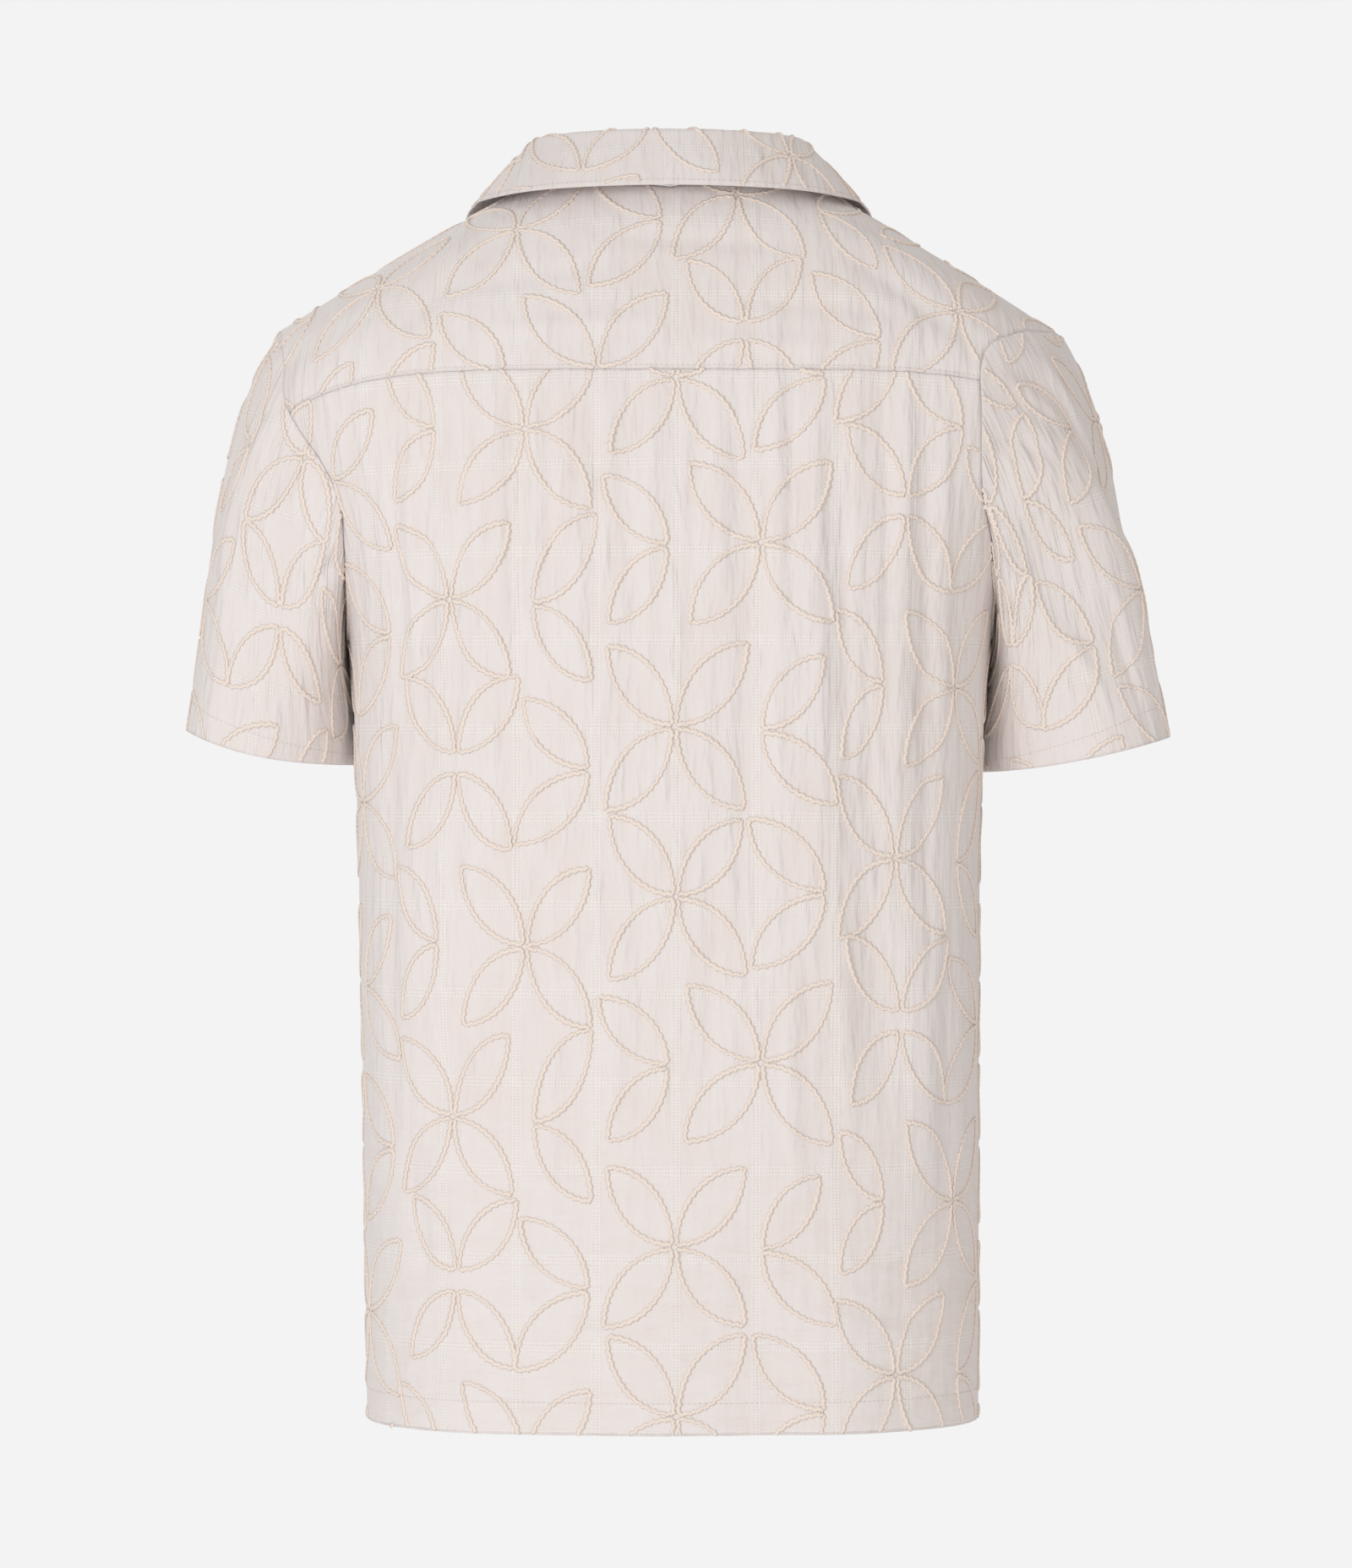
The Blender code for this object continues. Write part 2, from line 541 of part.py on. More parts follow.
def back_angles(rows):
    """The back's angles, from its left edge to its right one, with a column on the yoke's middle."""
    left = armhole_angle(rows, "left")[:, None]
    right = from_side(armhole_angle(rows, "right"), "right")[:, None]
    middle = np.radians(NECK[0][NECK_COLUMNS.index("left")])
    share = np.linspace(0, 1, HALF_BACK_STEPS + 1)
    return np.concatenate([left + (middle - left) * share, middle + (right - middle) * share[1:]], axis=1)


def make_back(collection):
    rows = back_rows()
    angles = back_angles(rows)
    points, normals = cloth(np.repeat(rows[:, None], angles.shape[1], 1), angles)
    walls = -WALL * normals
    edge_walls(walls, rows, "left", 0)
    edge_walls(walls, rows, "right", -1)
    make_shell("back", inset(points, ("last_row", "first_column", "last_column")), walls, collection)


def front_edge_angle(rows, side):
    """The angle of a front panel's open edge, at places on the arch."""
    places, edge = (column(FRONT_EDGE, FRONT_EDGE_COLUMNS, name) for name in FRONT_EDGE_COLUMNS)
    x = np.where(rows > places[-2], edge[-1], smooth(rows, places, edge))
    return angle_at(rows, x if side == "left" else -x)


def make_front(side, collection):
    rows = front_rows()
    outer = from_side(armhole_angle(rows, side), side)[:, None]
    edge = front_edge_angle(rows, side)[:, None]
    angles = outer + (edge - outer) * np.linspace(0, 1, FRONT_COLUMNS)
    points, normals = cloth(np.repeat(rows[:, None], FRONT_COLUMNS, 1), angles)
    walls = -WALL * normals
    edge_walls(walls, rows, side, 0)
    if side == "right":
        # The right front laps under the left one
        under = 1 - smoothstep(np.abs(points[..., 0]) - PLACKET_HALF, *UNDERLAP_FADE)
        points = points - normals * (WALL + 2 * SEAM_GAP) * under[..., None]
    points = inset(points, ("first_row", "first_column"))
    make_shell("front_" + side, points, walls, collection)


def neck_path(side, share):
    """The neck seam as places on the arch and angles: share 0 is the middle of the back, and 1 the front
    yoke seam, past which it runs on down the front panel's open edge."""
    places = column(NECK, NECK_COLUMNS, "share")
    rows = smooth(share, places, column(NECK, NECK_COLUMNS, "row"))
    rows = rows + np.maximum(share - 1, 0) * NECK_ROWS_PAST_YOKE
    degrees = smooth(share, places, column(NECK, NECK_COLUMNS, side))
    angles = np.where(share > 1, front_edge_angle(rows, side), from_side(np.radians(degrees), side))
    return rows, angles


def yoke_half(side):
    """One half of the yoke, as places on the arch and angles: rows from neck to edge, columns outwards."""
    seam_share = np.linspace(0, YOKE_CORNER_SHARE, HALF_BACK_STEPS + 1)
    end_share = np.linspace(YOKE_CORNER_SHARE, 1, ARMHOLE_YOKE_STEPS + 1)
    neck_row, neck_angle = neck_path(side, np.concatenate([seam_share, end_share[1:]]))
    middle = np.radians(NECK[0][NECK_COLUMNS.index("left")])
    corner = from_side(armhole_angle(float(ROW["yoke_seam"]), side), side)
    on_seam = middle + (corner - middle) * np.linspace(0, 1, HALF_BACK_STEPS + 1)
    end_rows = yoke_end_rows()[1:]
    edge_row = np.concatenate([np.full(HALF_BACK_STEPS + 1, float(ROW["yoke_seam"])), end_rows])
    edge_angle = np.concatenate([on_seam, from_side(armhole_angle(end_rows, side), side)])
    out = np.linspace(0, 1, YOKE_ROWS)[:, None]
    return neck_row + (edge_row - neck_row) * out, neck_angle + (edge_angle - neck_angle) * out


def make_yoke(collection):
    halves = [yoke_half(side) for side in ("left", "right")]
    rows = np.concatenate([halves[0][0][:, ::-1], halves[1][0][:, 1:]], axis=1)
    angles = np.concatenate([halves[0][1][:, ::-1], halves[1][1][:, 1:]], axis=1)
    points, normals = cloth(rows, angles)
    walls = -WALL * normals
    for side, columns in (("left", slice(0, ARMHOLE_YOKE_STEPS + 1)),
                          ("right", slice(-ARMHOLE_YOKE_STEPS - 1, None))):
        seam = SEAM_WALLS[side]
        walls[-1, columns] = read_along(rows[-1, columns], seam["rows"], seam["body"])
    points = inset(points, ("first_column", "last_column", "last_row"))
    make_shell("yoke", points, walls, collection)


def make_sleeve(side, collection):
    loop_share = np.linspace(0, 1, 601)
    station = np.interp(armhole_rows(), armhole_loop(side, 601), loop_share)
    share = np.repeat(station[None, :], SLEEVE_RINGS, 0)
    reach = np.repeat(np.linspace(0, 1, SLEEVE_RINGS)[:, None], len(station), 1)
    normals = sleeve_normal(side, share, reach)
    points = sleeve_form(side, share, reach) + normals * sleeve_relief(side, share, reach)[..., None]
    walls = -WALL * normals
    seam = SEAM_WALLS[side]
    walls[0] = read_along(station, seam["share"], seam["sleeve"])
    along_seam = unit(np.roll(points[0], -1, axis=0) - np.roll(points[0], 1, axis=0))
    leave = points[1] - points[0]
    leave = unit(leave - along_seam * np.sum(leave * along_seam, axis=1, keepdims=True))
    points[0] += read_along(station, seam["share"], seam["lift"]) + leave * SEAM_GAP
    points[:, -1], walls[:, -1] = points[:, 0], walls[:, 0]
    if side == "right":
        points, walls = points * (-1, 1, 1), walls * (-1, 1, 1)
    make_shell("sleeve_" + side, points, walls, collection, tube=True)


def collar_section(foot, fold, edge):
    """Points across the collar's cloth, from its foot on the neck seam up to the crest and down the fall."""
    over = unit((edge - foot) * (1, 1, 0)) * COLLAR_FOLD_RADIUS
    down = np.array([0.0, 0.0, -COLLAR_FOLD_RADIUS])
    terms = dict(zip(COLLAR_SECTION_COLUMNS, (fold - foot, edge - fold, over, down)))
    return foot + sum(column(COLLAR_SECTION, COLLAR_SECTION_COLUMNS, name)[:, None] * term
                      for name, term in terms.items())


def collar_line(name, share):
    """The collar's crest or its free edge, at ways along it from the right end at -1 to the left one at 1."""
    places = column(COLLAR, COLLAR_COLUMNS, "share")
    table = np.array([row[COLLAR_COLUMNS.index(name)] for row in COLLAR])
    both = np.concatenate([table[:0:-1] * (-1, 1, 1), table])
    both_places = np.concatenate([-places[:0:-1], places])
    line = np.stack([smooth(share, both_places, both[:, k]) for k in range(3)], axis=-1)
    return line + (COLLAR_MIDDLE, 0, 0)


def collar_foot(share):
    """Where the collar stands, just inside and above the neck seam."""
    places, necks = column(COLLAR, COLLAR_COLUMNS, "share"), column(COLLAR, COLLAR_COLUMNS, "neck")
    neck = np.interp(np.abs(share), places, necks)
    sides = np.array([cloth(*neck_path(side, neck))[0] for side in ("left", "right")])
    seam = np.where((share > 0)[:, None], sides[0], sides[1])
    inward = unit((np.array([COLLAR_MIDDLE, 0.0, 0.0]) - seam) * (1, 1, 0))
    return seam + inward * COLLAR_FOOT_INSIDE + (0, 0, COLLAR_FOOT_RISE)


def make_collar(collection):
    share = np.linspace(-1, 1, COLLAR_STATIONS)
    lines = collar_foot(share), collar_line("fold", share), collar_line("edge", share)
    centre = np.array([collar_section(*station) for station in zip(*lines)])
    normals = unit(np.cross(np.gradient(centre, axis=0), np.gradient(centre, axis=1)))
    make_shell("collar", centre + normals * COLLAR_WALL / 2, -COLLAR_WALL * normals, collection)


def make_lapel(side, collection):
    rows = np.interp(np.linspace(0, 1, LAPEL_GRID[0]), np.linspace(0, 1, len(LAPEL)),
                     column(LAPEL, LAPEL_COLUMNS, "row"))
    reach = smooth(rows, column(LAPEL, LAPEL_COLUMNS, "row"), column(LAPEL, LAPEL_COLUMNS, "reach"))
    edge = smooth(rows, column(FRONT_EDGE, FRONT_EDGE_COLUMNS, "row"),
                  column(FRONT_EDGE, FRONT_EDGE_COLUMNS, "x"))
    sign = 1 if side == "left" else -1
    grid_rows = np.repeat(rows[:, None], LAPEL_GRID[1], 1)
    x = edge[:, None] + reach[:, None] * np.linspace(0, 1, LAPEL_GRID[1])
    angles = angle_at(grid_rows, sign * x).reshape(LAPEL_GRID)
    points, normals = cloth(grid_rows, angles)
    points = points + normals * (WALL + LAPEL_STANDOFF)
    make_shell("lapel_" + side, points, -WALL * normals, collection)


def make_button(number, height, collection):
    """A round button that lies on the lapped front at a height."""
    fronts = np.linspace(ROW["front_chest"], ROW["hem_front"], 400)
    row = np.interp(-height, -torso(fronts, np.pi / 2)[:, 2], fronts)
    point, normal = cloth(np.array([row]), np.array([np.pi / 2]))
    place = point[0] + normal[0] * (BUTTON_STANDOFF + BUTTON_HEIGHT / 2)
    bpy.ops.mesh.primitive_cylinder_add(vertices=20, radius=BUTTON_RADIUS, depth=BUTTON_HEIGHT, location=place)
    button = bpy.context.object
    button.name = button.data.name = f"button_{number}"
    button.rotation_euler = (np.arctan2(-normal[0][1], normal[0][2]), 0, 0)
    bevel = button.modifiers.new("edge", "BEVEL")
    bevel.width, bevel.segments, bevel.limit_method = BUTTON_BEVEL, 1, "ANGLE"
    button.data.materials.append(make_material(SHELL_BUTTON))
    for old in button.users_collection:
        old.objects.unlink(button)
    collection.objects.link(button)


def clear_scene():
    for thing in list(bpy.data.objects):
        bpy.data.objects.remove(thing, do_unlink=True)


def make_shirt():
    collection = bpy.data.collections.new("embroidered_shirt")
    bpy.context.scene.collection.children.link(collection)
    make_back(collection)
    make_yoke(collection)
    for side in ("left", "right"):
        make_front(side, collection)
        make_sleeve(side, collection)
        make_lapel(side, collection)
    make_collar(collection)
    for number, height in enumerate(BUTTON_HEIGHTS, start=1):
        make_button(number, height, collection)


SEAM_WALLS = {side: seam_walls(side) for side in ("left", "right")}
clear_scene()
make_shirt()
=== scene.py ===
"""Dresses the short-sleeve shirt: creased cloth, couched cord leaves, woven lines, sewing and buttons.

The forms repeat the sizes and tables of the solids, so that every thread lies on the cloth under it.
Metres, +Z up. The front faces -Y and the wearer's left is +X.
"""
import json

import bmesh
import bpy
import numpy as np
from bpy.props import FloatProperty, FloatVectorProperty, PointerProperty
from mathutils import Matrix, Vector

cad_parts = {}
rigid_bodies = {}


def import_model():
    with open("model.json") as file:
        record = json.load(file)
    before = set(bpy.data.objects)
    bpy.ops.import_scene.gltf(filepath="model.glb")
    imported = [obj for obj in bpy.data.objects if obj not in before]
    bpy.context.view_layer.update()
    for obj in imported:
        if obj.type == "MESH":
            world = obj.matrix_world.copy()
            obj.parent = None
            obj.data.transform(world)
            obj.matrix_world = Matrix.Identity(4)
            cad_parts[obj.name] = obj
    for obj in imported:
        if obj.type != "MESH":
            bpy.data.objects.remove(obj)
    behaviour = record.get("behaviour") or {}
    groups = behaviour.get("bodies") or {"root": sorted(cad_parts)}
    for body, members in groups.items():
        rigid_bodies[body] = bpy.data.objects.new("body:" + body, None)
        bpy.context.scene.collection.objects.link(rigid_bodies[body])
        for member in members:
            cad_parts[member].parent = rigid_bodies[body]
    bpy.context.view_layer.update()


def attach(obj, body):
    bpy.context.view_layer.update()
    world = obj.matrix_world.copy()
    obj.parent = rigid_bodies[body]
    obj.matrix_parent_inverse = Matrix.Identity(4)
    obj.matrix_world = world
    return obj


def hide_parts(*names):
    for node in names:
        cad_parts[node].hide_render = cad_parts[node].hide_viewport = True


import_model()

bl_info = {
    "name": "Embroidered Shirt",
    "version": (1, 0, 0),
    "blender": (4, 5, 0),
    "location": "View3D > Sidebar > Shirt",
    "description": "Dresses a camp-collar shirt with cloth, couched cord and sewing",
    "category": "Object",
}

# Sizes of the solids
WALL = 0.0015
COLLAR_WALL = 0.0018
SEAM_GAP = 0.0003
PLACKET_HALF = 0.015
BUTTON_RADIUS = 0.0056
BUTTON_HEIGHT = 0.0024

TORSO_COLUMNS = ("name", "left", "right", "depth", "middle", "left_end", "right_end", "round", "drop")
TORSO = (
    ("hem_back", 0.1768, 0.1730, 0.118, -0.697, -0.697, -0.697, 2.6, 2.0),
    ("seat_back", 0.1782, 0.1732, 0.121, -0.570, -0.570, -0.570, 2.6, 2.0),
    ("waist_back", 0.1802, 0.1735, 0.121, -0.450, -0.450, -0.450, 2.6, 2.0),
    ("ribs_back", 0.1828, 0.1747, 0.125, -0.340, -0.340, -0.340, 2.6, 2.0),
    ("underarm_back", 0.1880, 0.1810, 0.129, -0.247, -0.247, -0.247, 2.6, 3.0),
    ("blade", 0.2070, 0.2000, 0.130, -0.180, -0.182, -0.182, 2.6, 4.5),
    ("yoke_seam", 0.2330, 0.2330, 0.121, -0.106, -0.136, -0.136, 2.6, 5.8),
    ("upper_back", 0.2380, 0.2370, 0.100, -0.050, -0.112, -0.116, 2.5, 3.0),
    ("high_back", 0.2420, 0.2400, 0.070, 0.000, -0.098, -0.103, 2.4, 1.7),
    ("near_ridge", 0.2445, 0.2420, 0.035, 0.031, -0.090, -0.096, 2.3, 1.3),
    ("ridge", 0.2450, 0.2425, 0.000, 0.057, -0.087, -0.093, 2.2, 1.0),
    ("front_yoke", 0.2445, 0.2420, -0.038, 0.049, -0.092, -0.098, 2.3, 1.15),
    ("front_high", 0.2400, 0.2380, -0.075, -0.010, -0.106, -0.111, 2.4, 1.6),
    ("front_chest", 0.2280, 0.2230, -0.105, -0.085, -0.142, -0.145, 2.5, 3.0),
    ("front_mid", 0.2050, 0.1990, -0.122, -0.165, -0.185, -0.185, 2.6, 4.0),
    ("underarm_front", 0.1880, 0.1810, -0.128, -0.247, -0.247, -0.247, 2.6, 3.0),
    ("ribs_front", 0.1828, 0.1747, -0.125, -0.340, -0.340, -0.340, 2.6, 2.0),
    ("waist_front", 0.1802, 0.1735, -0.121, -0.450, -0.450, -0.450, 2.6, 2.0),
    ("seat_front", 0.1782, 0.1732, -0.119, -0.570, -0.570, -0.570, 2.6, 2.0),
    ("hem_front", 0.1768, 0.1730, -0.116, -0.697, -0.697, -0.697, 2.6, 2.0),
)
ROW = {row[0]: number for number, row in enumerate(TORSO)}

ARMHOLE_COLUMNS = ("row", "left", "right")
ARMHOLE = (
    (4.00, 0.0, 0.0),
    (4.12, 11.0, 11.0),
    (4.35, 21.0, 22.0),
    (4.70, 28.0, 30.0),
    (5.00, 31.5, 36.5),
    (5.40, 31.5, 42.5),
    (5.75, 29.0, 46.0),
    (6.00, 27.7, 47.7),
    (7.00, 27.3, 42.0),
    (8.00, 27.0, 35.5),
    (9.00, 26.5, 31.0),
    (10.0, 25.7, 26.0),
    (11.0, 27.0, 27.0),
    (12.0, 27.5, 27.5),
    (13.0, 30.0, 30.0),
    (14.0, 32.0, 32.0),
    (14.6, 26.0, 26.0),
    (14.88, 12.0, 12.0),
    (15.0, 0.0, 0.0),
)
NECK_COLUMNS = ("share", "row", "left", "right")
NECK = (
    (0.00, 8.00, 89.2, 90.8),
    (0.20, 8.16, 82.9, 83.3),
    (0.38, 8.64, 75.9, 76.5),
    (0.56, 9.36, 72.0, 72.4),
    (0.78, 10.08, 70.7, 71.1),
    (1.00, 11.00, 71.9, 71.65),
)
NECK_ROWS_PAST_YOKE = 3.0
YOKE_CORNER_SHARE = 0.5625
YOKE_END_COLUMNS = ("share", "row")
YOKE_END = ((0.5625, 6.0), (0.69, 7.0), (0.80, 8.0), (0.88, 9.0), (0.94, 10.0), (1.00, 11.0))
FRONT_EDGE_COLUMNS = ("row", "x")
FRONT_EDGE = (
    (11.0, 0.0775),
    (11.6, 0.0655),
    (12.3, 0.0480),
    (13.0, 0.0250),
    (13.55, 0.0020),
    (13.85, -0.0150),
    (19.0, -0.0150),
)

# The main folds, as in the solids, and then the creases that are too fine for them.
# Columns: side, across_top, down_top, across_foot, down_foot, width, height
FOLDS = (
    ("back", 0.104, -0.120, 0.108, -0.370, 0.0140, 0.0030),
    ("back", 0.090, -0.125, 0.088, -0.372, 0.0100, -0.0042),
    ("back", 0.060, -0.130, 0.054, -0.300, 0.0140, 0.0016),
    ("back", -0.012, -0.160, -0.002, -0.370, 0.0180, 0.0020),
    ("back", -0.044, -0.185, -0.039, -0.421, 0.0100, -0.0030),
    ("back", -0.072, -0.160, -0.080, -0.410, 0.0160, 0.0030),
    ("back", -0.090, -0.165, -0.108, -0.380, 0.0120, -0.0046),
    ("back", -0.109, -0.392, -0.117, -0.508, 0.0140, -0.0050),
    ("back", -0.140, -0.400, -0.138, -0.560, 0.0180, 0.0030),
    ("back", 0.109, -0.426, 0.130, -0.524, 0.0120, -0.0042),
    ("back", 0.146, -0.360, 0.150, -0.470, 0.0160, 0.0030),
    ("back", 0.050, -0.476, 0.056, -0.572, 0.0130, -0.0030),
    ("back", -0.041, -0.572, -0.041, -0.630, 0.0090, -0.0022),
    ("back", 0.114, -0.610, 0.120, -0.720, 0.0260, 0.0034),
    ("back", 0.010, -0.590, 0.014, -0.720, 0.0300, 0.0026),
    ("back", -0.092, -0.600, -0.098, -0.720, 0.0240, 0.0034),
    ("back", -0.050, -0.640, -0.052, -0.720, 0.0180, -0.0026),
    ("front", 0.118, -0.170, 0.112, -0.360, 0.0140, -0.0036),
    ("front", 0.086, -0.150, 0.078, -0.330, 0.0150, 0.0028),
    ("front", 0.052, -0.300, 0.058, -0.520, 0.0150, -0.0032),
    ("front", 0.126, -0.430, 0.134, -0.590, 0.0170, 0.0034),
    ("front", 0.090, -0.560, 0.086, -0.720, 0.0220, -0.0032),
    ("front", -0.096, -0.160, -0.088, -0.350, 0.0150, -0.0038),
    ("front", -0.128, -0.240, -0.122, -0.420, 0.0160, 0.0030),
    ("front", -0.060, -0.330, -0.066, -0.560, 0.0160, -0.0030),
    ("front", -0.116, -0.470, -0.126, -0.640, 0.0180, -0.0038),
    ("front", -0.082, -0.600, -0.084, -0.720, 0.0240, 0.0034),
)
CREASES = (
    ("back", 0.158, -0.150, 0.152, -0.300, 0.0042, -0.0012),
    ("back", 0.149, -0.128, 0.147, -0.250, 0.0036, 0.0010),
    ("back", 0.138, -0.118, 0.140, -0.330, 0.0046, -0.0013),
    ("back", 0.128, -0.116, 0.127, -0.235, 0.0034, 0.0009),
    ("back", 0.119, -0.112, 0.121, -0.290, 0.0040, -0.0012),
    ("back", 0.096, -0.112, 0.097, -0.262, 0.0032, 0.0010),
    ("back", 0.079, -0.112, 0.076, -0.350, 0.0040, 0.0012),
    ("back", 0.070, -0.110, 0.069, -0.236, 0.0034, -0.0011),
    ("back", 0.062, -0.110, 0.061, -0.206, 0.0030, 0.0009),
    ("back", 0.047, -0.110, 0.044, -0.262, 0.0036, -0.0011),
    ("back", 0.036, -0.110, 0.038, -0.222, 0.0032, 0.0009),
    ("back", 0.027, -0.110, 0.024, -0.330, 0.0042, -0.0010),
    ("back", 0.013, -0.110, 0.014, -0.240, 0.0034, 0.0010),
    ("back", 0.002, -0.110, 0.001, -0.205, 0.0032, -0.0010),
    ("back", -0.011, -0.110, -0.008, -0.300, 0.0038, -0.0011),
    ("back", -0.023, -0.110, -0.025, -0.246, 0.0034, 0.0010),
    ("back", -0.034, -0.110, -0.031, -0.215, 0.0032, -0.0010),
    ("back", -0.055, -0.110, -0.058, -0.330, 0.0044, 0.0013),
    ("back", -0.064, -0.110, -0.063, -0.240, 0.0034, -0.0012),
    ("back", -0.077, -0.112, -0.080, -0.290, 0.0038, 0.0011),
    ("back", -0.099, -0.112, -0.102, -0.330, 0.0042, 0.0013),
    ("back", -0.114, -0.112, -0.118, -0.262, 0.0038, -0.0013),
    ("back", -0.128, -0.114, -0.124, -0.350, 0.0044, 0.0012),
    ("back", -0.139, -0.118, -0.140, -0.420, 0.0046, -0.0014),
    ("back", -0.150, -0.150, -0.149, -0.300, 0.0038, 0.0012),
    ("back", 0.160, -0.330, 0.156, -0.480, 0.0050, -0.0012),
    ("back", 0.133, -0.380, 0.128, -0.470, 0.0046, 0.0011),
    ("back", 0.072, -0.380, 0.078, -0.480, 0.0050, -0.0011),
    ("back", 0.030, -0.400, 0.034, -0.520, 0.0054, 0.0010),
    ("back", -0.020, -0.390, -0.016, -0.500, 0.0052, -0.0011),
    ("back", -0.062, -0.440, -0.066, -0.560, 0.0056, 0.0012),
    ("back", -0.092, -0.420, -0.096, -0.520, 0.0046, 0.0013),
    ("back", -0.152, -0.430, -0.150, -0.560, 0.0050, -0.0013),
    ("back", 0.150, -0.540, 0.140, -0.610, 0.0052, -0.0011),
    ("back", 0.088, -0.560, 0.080, -0.640, 0.0054, 0.0010),
    ("back", 0.140, -0.640, 0.070, -0.652, 0.0050, -0.0009),
    ("back", 0.060, -0.628, 0.000, -0.640, 0.0046, -0.0010),
    ("back", -0.010, -0.655, -0.075, -0.648, 0.0048, -0.0010),
    ("back", -0.080, -0.622, -0.150, -0.640, 0.0050, -0.0011),
    ("back", 0.120, -0.590, 0.060, -0.600, 0.0044, 0.0008),
    ("back", -0.020, -0.600, -0.060, -0.606, 0.0044, 0.0008),
    ("back", 0.150, -0.676, 0.090, -0.670, 0.0040, 0.0009),
    ("back", -0.030, -0.676, -0.110, -0.668, 0.0040, 0.0009),
    ("back", 0.130, -0.060, 0.040, -0.046, 0.0056, -0.0010),
    ("back", 0.100, -0.084, 0.020, -0.078, 0.0050, 0.0009),
    ("back", 0.030, -0.030, -0.060, -0.034, 0.0054, -0.0010),
    ("back", -0.040, -0.066, -0.130, -0.074, 0.0056, -0.0011),
    ("back", -0.020, -0.090, -0.090, -0.094, 0.0048, 0.0009),
    ("back", -0.100, -0.040, -0.165, -0.088, 0.0070, -0.0018),
    ("back", 0.105, -0.034, 0.160, -0.086, 0.0070, -0.0014),
    ("front", 0.160, -0.180, 0.150, -0.330, 0.0048, -0.0013),
    ("front", 0.140, -0.150, 0.134, -0.290, 0.0044, 0.0011),
    ("front", 0.104, -0.120, 0.100, -0.260, 0.0042, -0.0012),
    ("front", 0.070, -0.180, 0.066, -0.300, 0.0044, 0.0010),
    ("front", 0.036, -0.200, 0.034, -0.390, 0.0050, -0.0012),
    ("front", 0.100, -0.360, 0.108, -0.500, 0.0052, 0.0012),
    ("front", 0.152, -0.420, 0.150, -0.560, 0.0050, -0.0012),
    ("front", 0.060, -0.560, 0.062, -0.680, 0.0052, 0.0011),
    ("front", 0.030, -0.480, 0.028, -0.620, 0.0052, -0.0011),
    ("front", 0.120, -0.640, 0.050, -0.650, 0.0050, -0.0010),
    ("front", -0.158, -0.180, -0.148, -0.330, 0.0048, -0.0013),
    ("front", -0.138, -0.150, -0.132, -0.290, 0.0044, 0.0011),
    ("front", -0.108, -0.120, -0.106, -0.250, 0.0042, -0.0012),
    ("front", -0.074, -0.180, -0.068, -0.310, 0.0044, 0.0010),
    ("front", -0.040, -0.220, -0.038, -0.400, 0.0050, -0.0012),
    ("front", -0.096, -0.380, -0.104, -0.520, 0.0052, 0.0012),
    ("front", -0.150, -0.420, -0.148, -0.560, 0.0050, -0.0012),
    ("front", -0.040, -0.560, -0.042, -0.680, 0.0052, 0.0011),
    ("front", -0.060, -0.636, -0.140, -0.648, 0.0050, -0.0010),
)

# How deep the folds and the creases are, beside their tables, and how they fade at their ends and sides
FOLD_DEPTH = 0.78
CREASE_DEPTH = 1.5
FOLD_FADE = 0.25
FOLD_SIDE_FADE = (0.02, 0.06)

SLEEVE_START_COLUMNS = ("share", "out", "back", "up")
LEFT_SLEEVE_START = (
    (0.00, 0.10, -0.30, -0.95),
    (0.12, 0.22, 0.12, -0.97),
    (0.26, 0.46, -0.02, -0.89),
    (0.38, 0.55, -0.16, -0.82),
    (0.50, 0.58, 0.00, -0.81),
    (0.62, 0.58, 0.12, -0.80),
    (0.74, 0.46, 0.04, -0.89),
    (0.88, 0.18, -0.16, -0.97),
    (1.00, 0.10, -0.30, -0.95),
)
RIGHT_SLEEVE_START = (
    (0.00, 0.10, -0.30, -0.95),
    (0.12, 0.24, 0.00, -0.97),
    (0.26, 0.62, -0.42, -0.66),
    (0.38, 0.74, -0.36, -0.57),
    (0.50, 0.50, 0.00, -0.87),
    (0.62, 0.55, 0.12, -0.83),
    (0.74, 0.46, 0.04, -0.89),
    (0.88, 0.18, -0.16, -0.97),
    (1.00, 0.10, -0.30, -0.95),
)
CUFF_COLUMNS = ("inner_x", "inner_z", "outer_x", "outer_z", "half_depth", "forward", "turn", "rise")
LEFT_CUFF = (0.1845, -0.3250, 0.2806, -0.3050, 0.0680, 0.010, 20.0, 2.4)
RIGHT_CUFF = (0.1775, -0.3290, 0.2828, -0.3090, 0.0680, 0.010, 20.0, 1.6)
CUFF_TURN_SHARE = 0.5
SLEEVE_FALL = (0.200, -0.02, -0.980)
SLEEVE_PULL = 0.95
SLEEVE_REACH_SHARE = 0.6
